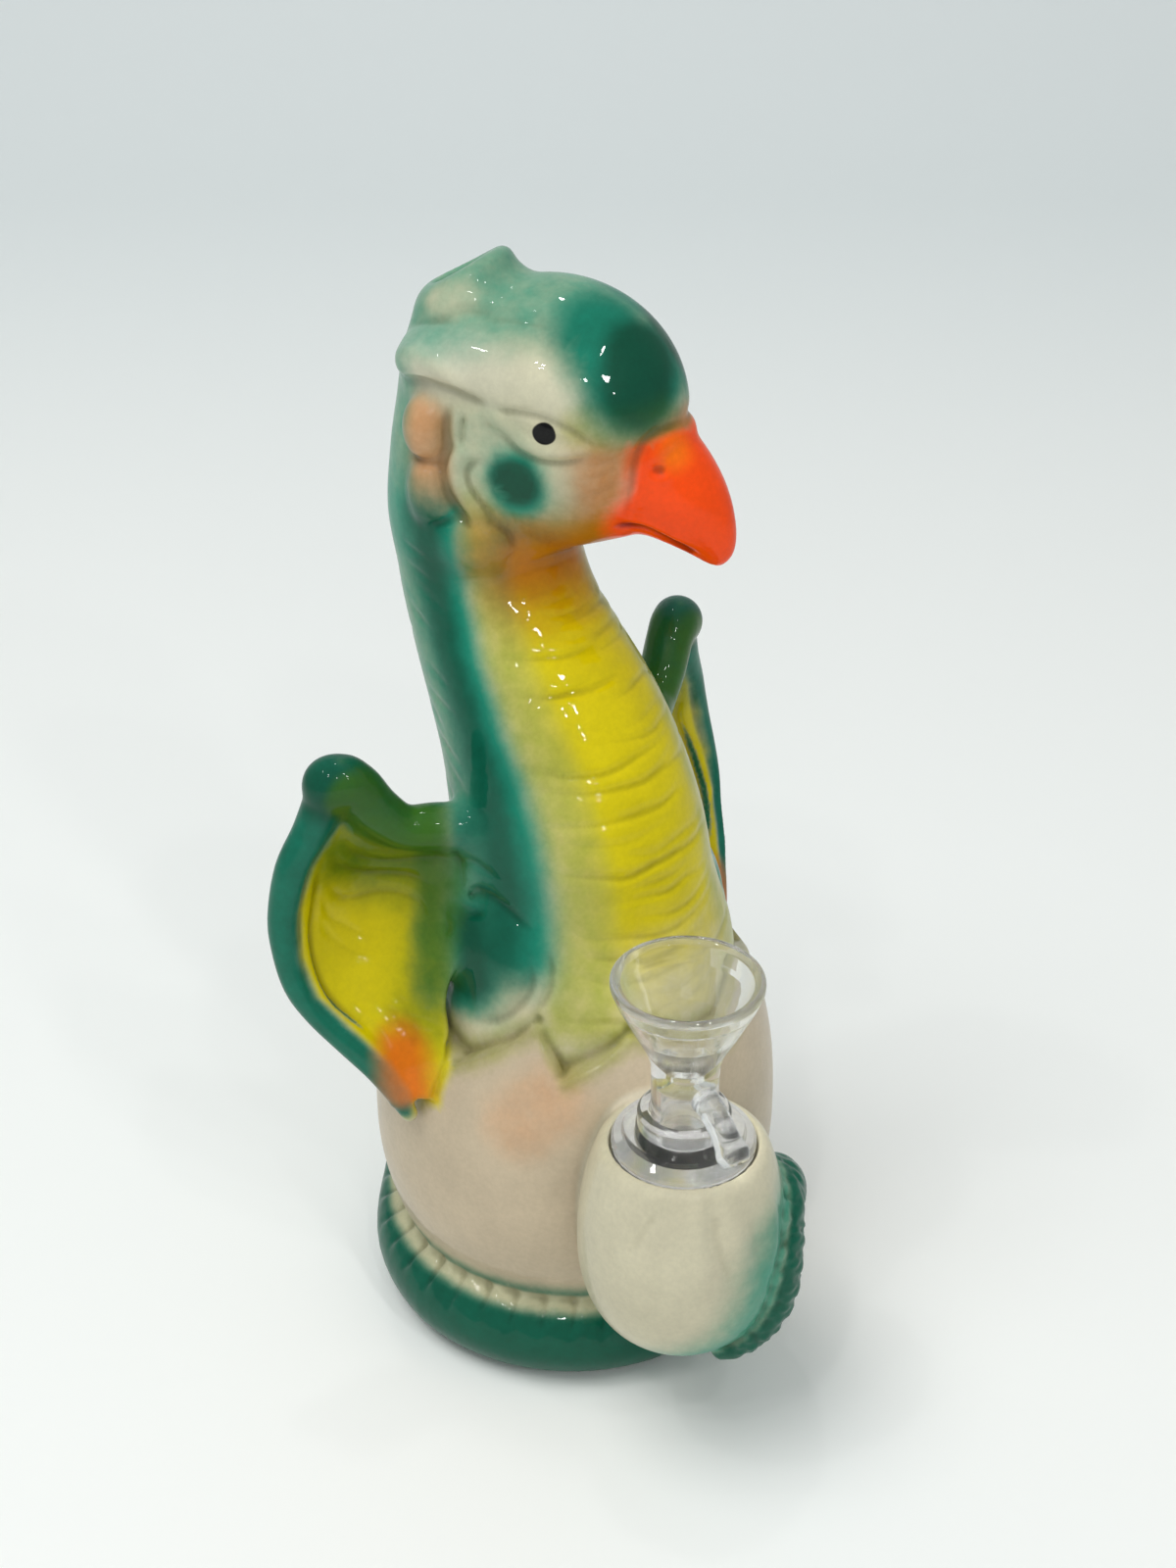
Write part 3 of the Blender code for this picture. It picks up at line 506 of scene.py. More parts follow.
# ---- scored lines
# on the head, in its axes: width, depth, then along, outwards and height of points
HEAD_LINES = (
    (1.5, 2.3, ((-11, 13, 214.6), (-5.2, 15.8, 215.8), (0, 16.7, 215.4), (5, 17.2, 214.2),
                (10, 18, 212.8))),
    (1.6, -0.9, ((-9.6, 15, 218.6), (-5.0, 17, 219.4), (0.4, 17.4, 218.6), (5, 17.8, 217.0))),
    (0.9, 1.2, ((10.5, 18.3, 212.8), (15, 18.7, 212.9), (20, 18.4, 212.3), (25.2, 17.3, 210.0),
                (29.8, 15.4, 206.4))),
    (1.2, -1.3, ((9.5, 18.2, 213.2), (12.6, 18.8, 209.6), (15.7, 18.8, 206.7), (19.2, 18.3, 205.3),
                 (23.1, 17.6, 205.1), (27.5, 16.4, 205.7))),
    (0.9, 0.9, ((11.5, 18.5, 207.2), (14.7, 18.6, 204.3), (19, 18.2, 202.9), (24, 17.2, 203.0),
                (28.5, 15.5, 204.4))),
    (1.5, -0.7, ((4.6, 17, 213.3), (8.9, 18.1, 212), (11.4, 18.5, 209.5))),
    (1.4, -1.7, ((7.3, 17.1, 203.0), (3.5, 17.4, 202.4), (1.3, 17.3, 200.4), (0.6, 17.7, 197.6),
                 (1.9, 18.1, 193.8), (4.2, 17.8, 190.4), (6.0, 18.2, 187.0), (9, 17.8, 184.2))),
    (0.9, 0.7, ((7.0, 16.8, 201.0), (4.6, 16.6, 199.8), (3.4, 16.8, 197.2), (4.2, 17.1, 193.7),
                (6.6, 16.5, 190.7), (9, 16.4, 188))),
    (1.0, -0.5, ((8.4, 16.3, 199.2), (6.6, 16.8, 197.0), (6.6, 17.1, 194.6), (8.2, 16.5, 192))),
    (1.2, 1.7, ((1.0, 15.6, 211.4), (-0.4, 16.8, 207), (-0.4, 17.2, 202.6), (-0.9, 17.6, 199.4),
                (0.6, 18, 194.5), (1.6, 18.2, 190.4), (4.6, 18.6, 188.0), (9.6, 18.0, 186.6))),
    (0.9, 0.8, ((3.2, 16.6, 209.6), (2.2, 16.8, 206.6), (2.2, 16.9, 204))),
    (1.2, -0.6, ((1.8, 16.6, 210.4), (0.6, 16.8, 206.6), (0.4, 17, 203.4))),
    (1.2, -0.6, ((5.4, 17, 210.4), (4.6, 17, 207.6), (4.8, 17.2, 205))),
    (1.0, 0.8, ((-8.6, 18, 199.6), (-5.4, 19, 199.2), (-2.4, 19, 199.4))),
    (1.0, 0.7, ((-3.6, 19, 187.0), (-1.2, 19.6, 187.4), (1.2, 19.6, 188.6))),
    (1.1, 0.9, ((42.6, 0.6, 208.4), (40.4, 6, 208.6), (37.6, 9.6, 207.2), (35.9, 10.9, 203.4),
                (34.8, 10.7, 197.2), (32.7, 9.0, 190.4))),
    (1.6, -0.7, ((44.0, 0.6, 206.0), (42.0, 5, 206.0), (39.6, 8.0, 204.4), (37.8, 9.4, 200.8))),
    (0.95, 1.5, ((31.4, 8.6, 188.6), (35.6, 7.8, 187.4), (39.4, 6.6, 185.6), (43.0, 5.2, 183.6),
                 (46.6, 3.6, 181.4))),
    (0.9, -0.5, ((33.0, 8.8, 190.6), (37.0, 8.2, 189.2), (41.0, 6.8, 187.0), (45.0, 5.0, 184.4))),
    (1.0, 1.2, ((38.8, 8.4, 200.9), (39.9, 8.1, 200.5))),
    (0.9, -0.5, ((38.2, 8.6, 198.8), (40.4, 7.8, 198.4), (41.6, 6.8, 199.6))),
    (0.7, 0.35, ((27.6, 14.4, 199.4), (29.6, 13.6, 200.4), (32.0, 12.6, 201.2))),
    (0.7, 0.35, ((28.0, 13.8, 196.2), (30.2, 13.0, 197.2), (32.2, 12.0, 198.4))),
    (0.7, 0.3, ((26.8, 14.4, 202.0), (29.4, 13.8, 202.8), (32.2, 12.6, 203.8))),
    (1.0, 0.4, ((-6, 12.4, 225.4), (0, 11.4, 227.6), (7, 10.6, 228.6))),
    (1.1, -0.4, ((-2, 10.2, 229), (5, 9.6, 230.2), (13, 9.8, 229.8), (20, 10.2, 228.6))),
    (1.0, 0.4, ((4, 11.8, 226.8), (12, 11.6, 227), (20, 11.4, 226.2))),
    (1.2, 0.5, ((-10.5, 8, 222), (-5, 10.5, 224.4), (1, 11.4, 224.4))),
)
# on the front of a wing: width, depth, then along and height of points
WING_LINES = (
    (1.0, 1.1, ((23.5, 125.4), (21.6, 121.6), (17.6, 118.8), (13.4, 117.7), (8, 118.4),
                (2.6, 119.6))),
    (1.0, 0.9, ((26, 123), (24.6, 119.0), (19.6, 115.2), (13.6, 114.3), (10, 113.9),
                (6.4, 112.6))),
    (0.9, 0.7, ((28, 117), (25.4, 110.8), (21.6, 109.4), (17.2, 110), (11.7, 109.6), (8.2, 107.4),
                (9.0, 103.4))),
    (0.8, 0.45, ((28.8, 112.8), (27.3, 107.2), (24, 103.8), (19.0, 100.4))),
    (0.8, 0.4, ((29.4, 107.5), (27.4, 102.6), (23, 98.6), (17.5, 96.6))),
    (1.2, 1.3, ((27.8, 125.6), (29.4, 119), (30.4, 112.4), (31.7, 105.6), (31.6, 99.6), (29.6, 93),
                (25.2, 88.2), (20.6, 84.8))),
    (0.8, 0.5, ((27.0, 92.9), (22.8, 88.2), (19.2, 85.2), (17.0, 81.6))),
    (1.0, 0.8, ((18.2, 88.4), (15.6, 86.6), (13.4, 83.6), (12.2, 80))),
    (0.8, 0.6, ((14.8, 90.4), (12.6, 86), (11.4, 81.4))),
    (1.7, -0.9, ((26.6, 127), (29.2, 120.4), (31.6, 112.4), (33.2, 104.6), (32.2, 96.4),
                 (28.6, 89.6), (22.8, 83.8), (18.4, 78.2))),
    (1.0, 1.0, ((27.2, 131.5), (30.6, 124), (33.9, 114), (34.9, 104), (33.2, 95.6), (28.6, 88.2),
                (22.4, 81.8), (17.4, 75.6))),
)
# round the haunch: width, depth, then x outwards, y and z of points
HAUNCH_LINES = (
    (1.3, 1.0, ((25.4, -14.6, 103.5), (26.2, -16.4, 98.5), (28, -15.3, 94.0), (31.6, -12.2, 89.4),
                (35.2, -6.5, 86.6))),
    (1.0, 0.8, ((23.6, -18.2, 106), (23.6, -19.2, 101), (25, -19.3, 96), (27.4, -17.6, 92.3))),
    (1.2, 0.8, ((27.6, 4, 112.5), (27, -3.4, 114), (25.6, -9.6, 112), (24.4, -14.6, 108.4))),
    (1.2, 0.9, ((31.6, 5.6, 108), (32.4, 3.6, 102.5), (33.4, 3, 97), (35, 2.4, 91))),
    (0.9, 0.6, ((30.2, 2.2, 112.6), (29.8, 3.6, 118.4), (28.6, 4.4, 123.6))),
    (0.9, 0.5, ((29.2, -3.4, 110), (29.8, -0.4, 109), (30.6, 2.4, 110.4))),
)


def score_head(clay):
    for side in (-1, 1):
        for width, depth, points in HEAD_LINES:
            clay.score([head_place(a, side * b, z) for a, b, z in points], width, depth)
        for number in range(9):
            along = 7.5 + 1.5 * number
            top = 190.2 - 0.12 * (along - 13) ** 2 + (number % 2) * 0.8
            whisker = ((0.6, 16.0, top), (0.1, 14.6, top - 3.4), (-0.3, 12.6, top - 6.6))
            clay.score([head_place(along + drift, side * out, z) for drift, out, z in whisker],
                       0.55, 0.32)
        hollow = [head_place(EYE[0] + drift, side * EYE[1], EYE[2] + lift)
                  for drift, lift in ((-5, 1.2), (0, 0), (4, -1.4))]
        clay.score(hollow, 2.6, 0.9, taper=0.6)
        raised = [head_place(EYE[0] + d, side * EYE[1], EYE[2]) for d in (-0.6, 0.6)]
        clay.score(raised, 2.6, -0.9, taper=0)


def score_wings(clay):
    ticks = [((7 + 0.2 * n, 106 - 2.2 * n), (12 + 0.45 * n, 107.5 - 2.2 * n)) for n in range(11)]
    for side in (-1, 1):
        for width, depth, points in (*WING_LINES, *((0.6, 0.3, tick) for tick in ticks)):
            places = [wing_place(a, h, front_of_wing(a, h), side) for a, h in points]
            clay.score(places, width, depth)


def front_of_wing(along, height):
    """Stand-off of the front face of the wing's skin."""
    rows = np.array(WING_ROWS[::-1], float)
    inner, outer, *offs = (np.interp(height, rows[:, 0], rows[:, i]) for i in range(1, 6))
    return cupped((along - inner) / (outer - inner), *offs) + WING_HALF_WALL


def body_ring(height):
    """Centre y and radius of the body at a height."""
    _, centres, heights, radii = np.array(BODY, float).T
    return np.interp(height, heights, centres), np.interp(height, heights, radii)


def body_place(angle, height):
    """A place on the body: angle in degrees from the front towards the figure's right."""
    centre, radius = body_ring(height)
    turn = math.radians(angle)
    return np.array([-radius * math.sin(turn), centre - radius * math.cos(turn), height])


def score_body(clay):
    """Folds across the throat and chest, short ones on the nape, and the haunches' curls."""
    chance = np.random.default_rng(7)
    for number in range(34):
        height = 92 + 2.6 * number
        reach = 26 + 22 * chance.random()
        middle = chance.uniform(-24, 24)
        sag = chance.uniform(-2.6, 1.4) - (2.5 if height < 112 else 0)
        angles = np.linspace(middle - reach, middle + reach, 7)
        places = []
        for angle in angles:
            drop = sag * (1 - ((angle - middle) / reach) ** 2)
            places.append(body_place(angle, height + drop + chance.uniform(-0.5, 0.5)))
        clay.score(places, chance.uniform(0.7, 1.1), chance.uniform(0.35, 0.85), taper=0.45)
    for number in range(26):
        side = -1 if number % 2 else 1
        height = 118 + 2.5 * number
        start = side * chance.uniform(60, 120)
        angles = start + side * np.linspace(0, chance.uniform(16, 34), 5)
        lift = chance.uniform(1.5, 5)
        places = [body_place(a, height + lift * share)
                  for a, share in zip(angles, np.linspace(0, 1, 5))]
        clay.score(places, chance.uniform(0.6, 0.9), chance.uniform(0.3, 0.65), taper=0.45)
    for side in (-1, 1):
        for width, depth, points in HAUNCH_LINES:
            clay.score([(side * x, y, z) for x, y, z in points], width, depth)


def tail_frame(path, number):
    """Along, outward and upward directions of the tail at a point of its path."""
    along = path[min(number + 1, len(path) - 1), :3] - path[max(number - 1, 0), :3]
    along /= np.linalg.norm(along)
    outward = path[number, :3] * np.array([1, 1, 0])
    outward -= along * (outward @ along)
    outward /= np.linalg.norm(outward)
    return along, outward, np.cross(along, outward)


def score_tail(clay):
    """Belly plates across the upper side of the coil, and scallops over the hooked end."""
    path = smooth_path(tail_stations(), 8)
    coil_end = 8 * len(TAIL_COIL) - 6
    chance = np.random.default_rng(3)
    for number in range(10, coil_end, 3):
        along, outward, up = tail_frame(path, number)
        up = up if up[2] > 0 else -up
        centre, radius = path[number, :3], path[number, 3]
        places = []
        lift, reach = chance.uniform(-5, 5), chance.uniform(0.7, 1.15)
        for degrees in (24, 37, 50, 63, 80):
            turn = math.radians(degrees + lift)
            bow = 1.1 * math.sin(math.radians((degrees - 24) * 3.2)) + 0.5 * chance.random()
            round_it = outward * math.cos(turn) + up * math.sin(turn)
            places.append(centre + along * bow + radius * round_it)
        clay.score(places, 0.8, 0.85 * reach, taper=0.35)
        clay.score([place + along * 2.2 for place in places], 1.5, -0.45 * reach, taper=0.35)
    for number in range(coil_end + 6, len(path) - 8, 2):
        along, outward, up = tail_frame(path, number)
        centre, radius = path[number, :3], path[number, 3]
        for first in (-70, 0, 70, 140):
            places = []
            for degrees in (-26, -13, 0, 13, 26):
                turn = math.radians(first + degrees + 35 * (number // 2 % 2))
                bow = 1.6 * (1 - (degrees / 26) ** 2)
                round_it = outward * math.cos(turn) + up * math.sin(turn)
                places.append(centre + along * bow + radius * round_it)
            clay.score(places, 0.7, 0.55, taper=0.2)


def score_socket(clay):
    """Soft flats and creases in the small egg's wall."""
    lines = ((2.2, 0.7, ((-27.3, -69.1, 74), (-28.5, -73.0, 64), (-25.8, -74.4, 54.6))),
             (2.6, -0.6, ((-30.6, -68.6, 74), (-32.0, -71.0, 64), (-30.8, -72.6, 55))),
             (1.8, 0.6, ((-36.1, -62.9, 72), (-38.6, -61.4, 67), (-39.7, -58.9, 61))),
             (2.2, 0.6, ((-21.0, -75.2, 70), (-20.0, -76.4, 62), (-19.0, -76.2, 52))),
             (2.4, -0.6, ((-14.0, -74.2, 71), (-13.0, -75.2, 63), (-14.6, -75.6, 54))))
    for width, depth, points in lines:
        clay.score(points, width, depth)


def score_crack(clay):
    """A soft bead along the cracked edge and a shallow valley above it."""
    for (first, low), (second, high) in zip(CRACK, CRACK[1:] + CRACK[:1]):
        second += 360 if second < first else 0
        places = []
        for share in np.linspace(0, 1, 6):
            angle = math.radians(first + share * (second - first))
            height = low + share * (high - low)
            level = (height - EGG_MIDDLE) / EGG_ABOVE
            radius = EGG_RADIUS * (1 - level ** EGG_FULLNESS) ** (1 / EGG_FULLNESS)
            places.append((-radius * math.sin(angle), -radius * math.cos(angle), height))
        clay.score([np.array(p) + (0, 0, 1.3) for p in places], 1.1, 0.55, taper=0, smooth=False)
        clay.score([np.array(p) - (0, 0, 1.0) for p in places], 1.3, -0.3, taper=0, smooth=False)


def build_figure():
    """All the lumps joined, hollowed and scored. Returns the clay and its named lumps."""
    lumps = {"egg": egg(), "body": limb(BODY), "head": head(),
             "tail": limb(tail_stations(), 5), "socket": socket(),
             "mouthpiece": mouthpiece(), "right_wing": wing(-1), "left_wing": wing(1)}
    clay = Clay(ROOM_LOW, ROOM_HIGH)
    clay.join(lumps["body"], 0)
    for side in (-1, 1):
        clay.join(haunch(side), 5)
    for name, blend in (("left_wing", 3.5), ("right_wing", 3.5), ("egg", 0.9), ("head", 4),
                        ("mouthpiece", 3.5), ("tail", 1.4), ("socket", 2.6)):
        clay.join(lumps[name], blend)
    for score in (score_body, score_head, score_wings, score_crack, score_tail, score_socket):
        score(clay)
    clay.cut(socket_hollow(), 0.7)
    clay.cut(middle_limb(BORE, 2), 1.8)
    foot = lump(ROOM_LOW, (*ROOM_HIGH[:2], 9), lambda x, y, z: z + 0 * x)
    clay.cut(foot, 1.0)
    return clay, lumps


# ---- from clay to mesh
def neighbours(axis):
    """Slices of the lower and the upper of each two cells that meet on an axis."""
    lower = [slice(None)] * 3
    upper = [slice(None)] * 3
    lower[axis], upper[axis] = slice(None, -1), slice(1, None)
    return tuple(lower), tuple(upper)


def skin_of(clay):
    """Places and four-sided faces of the clay's surface, one place in each cell it passes."""
    field = clay.field
    inside = field < 0
    sums = np.zeros((*[n - 1 for n in field.shape], 3), np.float32)
    crossings = np.zeros(sums.shape[:3], np.uint8)
    cells = [slice(None, -1), slice(1, None)]
    for axis in range(3):
        lower, upper = neighbours(axis)
        a, b = field[lower], field[upper]
        crossed = inside[lower] != inside[upper]
        share = np.where(crossed, a / np.where(a == b, 1, a - b), 0).astype(np.float32)
        others = [i for i in range(3) if i != axis]
        for first in (0, 1):
            for second in (0, 1):
                part = [slice(None)] * 3
                part[others[0]], part[others[1]] = cells[first], cells[second]
                here = crossed[tuple(part)]
                crossings += here
                sums[..., axis] += share[tuple(part)]
                sums[..., others[0]] += first * here
                sums[..., others[1]] += second * here
    active = crossings > 0
    number = np.full(active.shape, -1, np.int64)
    number[active] = np.arange(np.count_nonzero(active))
    where = np.argwhere(active)
    places = (where + sums[active] / crossings[active][:, None] + clay.first) * CELL
    faces = []
    rounds = {0: ((0, -1, -1), (0, 0, -1), (0, 0, 0), (0, -1, 0)),
              1: ((-1, 0, -1), (-1, 0, 0), (0, 0, 0), (0, 0, -1)),
              2: ((-1, -1, 0), (0, -1, 0), (0, 0, 0), (-1, 0, 0))}
    for axis in range(3):
        lower, upper = neighbours(axis)
        starts_inside = inside[lower]
        edges = np.argwhere(starts_inside != inside[upper])
        corners = np.stack([number[tuple((edges + step).T)] for step in rounds[axis]], axis=1)
        turned = ~starts_inside[tuple(edges.T)]
        corners[turned] = corners[turned][:, ::-1]
        faces.append(corners)
    return places, np.vstack(faces)


def mesh_of(name, places, faces):
    mesh = bpy.data.meshes.new(name)
    mesh.from_pydata((places * MM).tolist(), [], faces.tolist())
    mesh.validate()
    return mesh


def add_object(name, mesh):
    obj = bpy.data.objects.new(name, mesh)
    bpy.context.scene.collection.objects.link(obj)
    return obj


def plain_mesh(obj):
    """The object's mesh with its modifiers made real."""
    graph = bpy.context.evaluated_depsgraph_get()
    mesh = bpy.data.meshes.new_from_object(obj.evaluated_get(graph))
    obj.modifiers.clear()
    old = obj.data
    obj.data = mesh
    bpy.data.meshes.remove(old)
    return mesh


def places_of(mesh):
    flat = np.empty(len(mesh.vertices) * 3, np.float32)
    mesh.vertices.foreach_get("co", flat)
    return flat.reshape(-1, 3).astype(float) / MM


def make_skin(clay):
    """The closed skin of the clay, thinned where it is flat, with normals read from the clay."""
    places, faces = skin_of(clay)
    places = clay.settle(places, 1)
    figure = add_object("glazed_figure", mesh_of("glazed_figure", places, faces))
    triangles = 2 * len(faces)
    if triangles > SKIN_TRIANGLES:
        thin = figure.modifiers.new("thin", "DECIMATE")
        thin.ratio = SKIN_TRIANGLES / triangles
        plain_mesh(figure)
    mesh = figure.data
    mesh.shade_smooth()
    points = places_of(mesh)
    normals = clay.lean(points)
    mesh.normals_split_custom_set_from_vertices(normals.tolist())
    return figure, points, normals


# ---- stains, sprayed on before the glaze
def gap_to(points, path):
    """Distance from each point to a path of places."""
    path = np.array(path, float)
    nearest = np.full(len(points), 1e9)
    if len(path) == 1:
        return np.linalg.norm(points - path[0], axis=1)
    for start, end in zip(path, path[1:]):
        run = end - start
        along = np.clip((points - start) @ run / max(run @ run, 1e-9), 0, 1)
        gap = np.linalg.norm(points - start - along[:, None] * run, axis=1)
        nearest = np.minimum(nearest, gap)
    return nearest


def spray(points, path, core, edge):
    """A soft spray along a path: full within core, gone at edge."""
    return ease(gap_to(points, path), edge, core)


def cover(*layers):
    """Several sprays of one stain over each other."""
    bare = np.ones_like(layers[0])
    for layer in layers:
        bare = bare * (1 - np.clip(layer, 0, 1))
    return 1 - bare


class Surface:
    """The figure's surface as the sprayer sees it: places, and which lump each belongs to."""

    def __init__(self, points, normals, lumps):
        self.points = points
        self.x, self.y, self.z = points.T
        self.along, left = head_axes(self.x, self.y)
        self.out = np.abs(left)
        self.head_points = np.stack([self.along, self.out, self.z], axis=1)
        near = {name: part.at(points) for name, part in lumps.items()}
        least = np.min(list(near.values()), axis=0)
        self.share = {name: ease(value - least, 2.2, 0.4) for name, value in near.items()}
        right, left_side = (np.stack(wing_axes(*points.T, side)[:2], axis=1) for side in (-1, 1))
        self.wing_points = np.where(self.x[:, None] < 0, right, left_side)
        self.wing_along, self.wing_z = self.wing_points.T
        facing = -np.sign(self.x) * normals[:, 0] * WING_FRONT[0] + normals[:, 1] * WING_FRONT[1]
        self.front_side = ease(facing, -0.15, 0.25)
        centre, _ = body_ring(self.z)
        self.turn = np.degrees(np.arctan2(np.abs(self.x), -(self.y - centre)))
        self.tail_gap = np.maximum(near["tail"], 0)


# the line between the wing's rim and its skin: along and height
WING_EDGE = ((24.0, 131), (30.6, 121.6), (34.0, 112.7), (34.6, 102.6), (31.8, 94.0), (25, 86.2),
             (18.0, 78.4), (14.6, 72), (13.6, 64))


def wing_stains(s):
    """Masks on the wings: whole, rim, knob, arm, upper skin and orange tip."""
    wing = np.maximum(s.share["right_wing"], s.share["left_wing"]) * ease(s.wing_z, 64, 67)
    root = wing * ease(s.wing_along, 7, 0)
    wing = wing - root
    edge = np.array(WING_EDGE, float)[::-1]
    outside = ease(s.wing_along - np.interp(s.wing_z, edge[:, 1], edge[:, 0]), -1.4, 1.2)
    arm = spray(s.wing_points, [(-4, 127), (4, 127), (11, 127.8), (17, 132), (21, 138)], 4.6, 7.4)
    knob = spray(s.wing_points, [(22, 140.4), (27, 139.4)], 4, 9)
    upper = spray(s.wing_points, [(5, 122), (15, 119), (21, 122)], 3, 17) * s.front_side
    inner = spray(s.wing_points, [(2, 116), (6, 101), (8.6, 88)], 0, 13) * s.front_side
    tip = spray(s.wing_points, [(15, 80), (14.6, 72)], 1.5, 8.5) * s.front_side
    tip = tip * ease(s.wing_z, 66, 71)
    rim = cover(outside, 0.95 * (1 - s.front_side))
    return {"wing": wing, "root": root, "rim": rim * wing, "arm": arm * wing,
            "knob": knob * wing, "upper": upper * wing * (1 - outside), "inner": inner * wing,
            "tip": tip * wing}


def head_stains(s, head):
    """Masks on the head."""
    def sprayed(path, core, edge):
        return spray(s.head_points, path, core, edge) * head
    border = 38.6 + 0.39 * (s.z - 190.4) - 0.5 * s.out - 0.25 * np.abs(s.z - 196)
    border = border + 1.3 * np.maximum(s.z - 205.5, 0)
    beak = ease(s.along - border, -2.2, 1.2) * head * ease(s.along, 24, 30)
    root = ease(s.along + 0.12 * (200 - s.z), 20, 32) * ease(s.z, 211, 203) * head
    return {
        "crown": head * ease(s.z - 0.18 * s.along, 217.5, 226.5) * ease(s.along, 46, 38),
        "crest_light": sprayed([(-6, 12, 230), (0, 11, 231)], 1.5, 5.5),
        "forehead": sprayed([(36, 5, 219.5), (33.5, 10, 217.5), (28, 8, 225)], 6, 14),
        "forehead_core": sprayed([(34, 6, 221), (34.8, 9.6, 216)], 5.5, 10),
        "below_forehead": sprayed([(38, 6, 210), (33, 12, 209.5), (27, 15.5, 210.5)], 2, 7),
        "cheek": sprayed([(13.8, 16.7, 198.6), (14.0, 16.7, 196.2)], 4.2, 8.6),
        "cheek_core": sprayed([(13.8, 16.7, 197.8)], 4.0, 7.0),
        "haze": sprayed([(8, 18, 203), (12, 18, 199), (16, 17, 192)], 5, 14),
        "beak": beak,
        "root": root * (1 - beak),
        "notch": sprayed([(41.5, 0, 208.6), (38, 8, 208.6), (36, 10.5, 204)], 1.5, 5.5),
        "lobes": sprayed([(-6.5, 20, 206), (-6, 20.4, 193), (2.8, 20.4, 182.6)], 4.5, 9),
        "mouth": sprayed([(32.0, 9, 189), (37, 8, 186.8), (44.6, 4, 182.2)], 0.6, 2.0),
        "beak_light": sprayed([(38, 4, 206.5), (41, 5, 203)], 1, 6),
        "brow": sprayed([place[:3] for place in BROW], 4, 9)}


def stain_masks(s):
    """How much of each stain every place has, from 0 to 1."""
    w = wing_stains(s)
    body = cover(s.share["body"], w["root"]) * (1 - w["wing"])
    head = cover(s.share["head"], s.share["mouthpiece"])
    neck = np.clip(body + ease(s.z, 200, 184) * head, 0, 1) * ease(s.z, 84, 90)
    h = head_stains(s, head * ease(s.z, 172, 178))
    low = ease(s.z, 112, 94)
    yellow_body = neck * ease(s.turn, 52, 24) * (1 - 0.7 * low) * ease(s.z, 198, 180)
    cream_edge = neck * ease(s.turn, 60, 48) * ease(s.turn, 20, 38)
    stripe = neck * ease(s.turn, 44, 62) * ease(s.turn, 108, 78) * ease(s.z, 92, 104)
    back = neck * ease(s.turn, 60, 90)
    nape = head * ease(s.along, -5.5, -11) * ease(s.z, 226, 214)
    mirrored = np.stack([np.abs(s.x), s.y, s.z], axis=1)
    bare_egg = 1 - s.share["egg"]
    haunch = spray(mirrored, [(31, 0, 103), (31, -3, 97)], 5, 12) * (1 - w["wing"]) * bare_egg
    saddle = spray(mirrored, [(28, 8, 120), (32, 6, 104), (35, 3, 92)], 3, 8.5) * bare_egg
    throat = neck * ease(s.turn, 64, 30) * ease(s.z, 160, 177) * ease(s.z, 198, 188)

    egg = s.share["egg"] * (1 - w["wing"]) * (1 - s.share["tail"]) * ease(s.z, 92, 88)
    above_crack = s.z - crack_height(s.x, s.y)
    edge_tint = ease(np.abs(above_crack - 0.4), 5.0, 1.0) * (1 - w["wing"]) * ease(s.z, 72, 78)
    socket = s.share["socket"]
    near_hook = spray(s.points, [place[:3] for place in TAIL_HOOK[1:]], 10, 23) * ease(s.z, 74, 62)
    tail = s.share["tail"] * (1 - socket)
    coil_turn = np.degrees(np.arctan2(s.z - 10.4, np.hypot(s.x, s.y) - TAIL_COIL_RADIUS))
    on_coil = ease(s.z, 36, 28) * ease(s.y, -50, -44)
    upper_coil = on_coil * ease(coil_turn, 42, 60)
    foot_wash = egg * ease(s.tail_gap, 7.5, 0.5) * ease(s.z, 50, 30)
    blush = egg * spray(s.points, [(-31.9, -26.7, 76), (-36, -22, 70)], 3, 12)
    teal = cover(0.74 * h["crown"] * (1 - 0.5 * h["crest_light"]), 0.8 * back, 0.75 * nape,
                 stripe, haunch, 0.2 * cream_edge, 0.3 * h["haze"], h["cheek"], h["forehead"],
                 w["rim"], w["knob"], w["arm"], tail * (1 - 0.93 * upper_coil),
                 0.9 * near_hook * socket, 0.8 * foot_wash, 0.5 * saddle)
    deep = cover(0.85 * stripe * ease(s.turn, 54, 74), 0.95 * haunch ** 2, h["cheek_core"],
                 h["forehead_core"], 0.45 * h["forehead"], 0.9 * w["knob"], 0.6 * w["rim"],
                 0.8 * w["arm"], 0.85 * tail * (1 - upper_coil), 0.45 * foot_wash)
    amber = cover(w["tip"], 0.95 * throat, 0.75 * h["root"], 0.8 * h["notch"], 0.3 * h["lobes"])
    return {
        "teal_stain": teal * (1 - h["beak"]),
        "deep_stain": deep * (1 - h["beak"]),
        "yellow_stain": cover(yellow_body, w["wing"] * s.front_side * (1 - w["rim"]),
                              0.62 * cream_edge, 0.22 * edge_tint, 0.35 * h["below_forehead"]),
        "green_stain": cover(0.85 * w["upper"], 0.6 * w["inner"], 0.35 * edge_tint,
                             0.7 * w["arm"], 0.16 * cream_edge,
                             0.7 * saddle * ease(s.z, 88, 96), 0.3 * h["below_forehead"]),
        "amber_stain": amber,
        "coral_stain": h["beak"],
        "glow_stain": cover(0.5 * w["tip"], 0.8 * h["beak_light"] * h["beak"]),
        "blush_stain": cover(0.5 * blush, 0.8 * h["lobes"], 0.4 * h["root"]),
        "mouth_line": h["mouth"],
        "brow_pale": cover(h["brow"], 0.25 * head, 0.4 * socket),
        "egg_side": np.clip(egg + 0.4 * socket, 0, 1),
    }


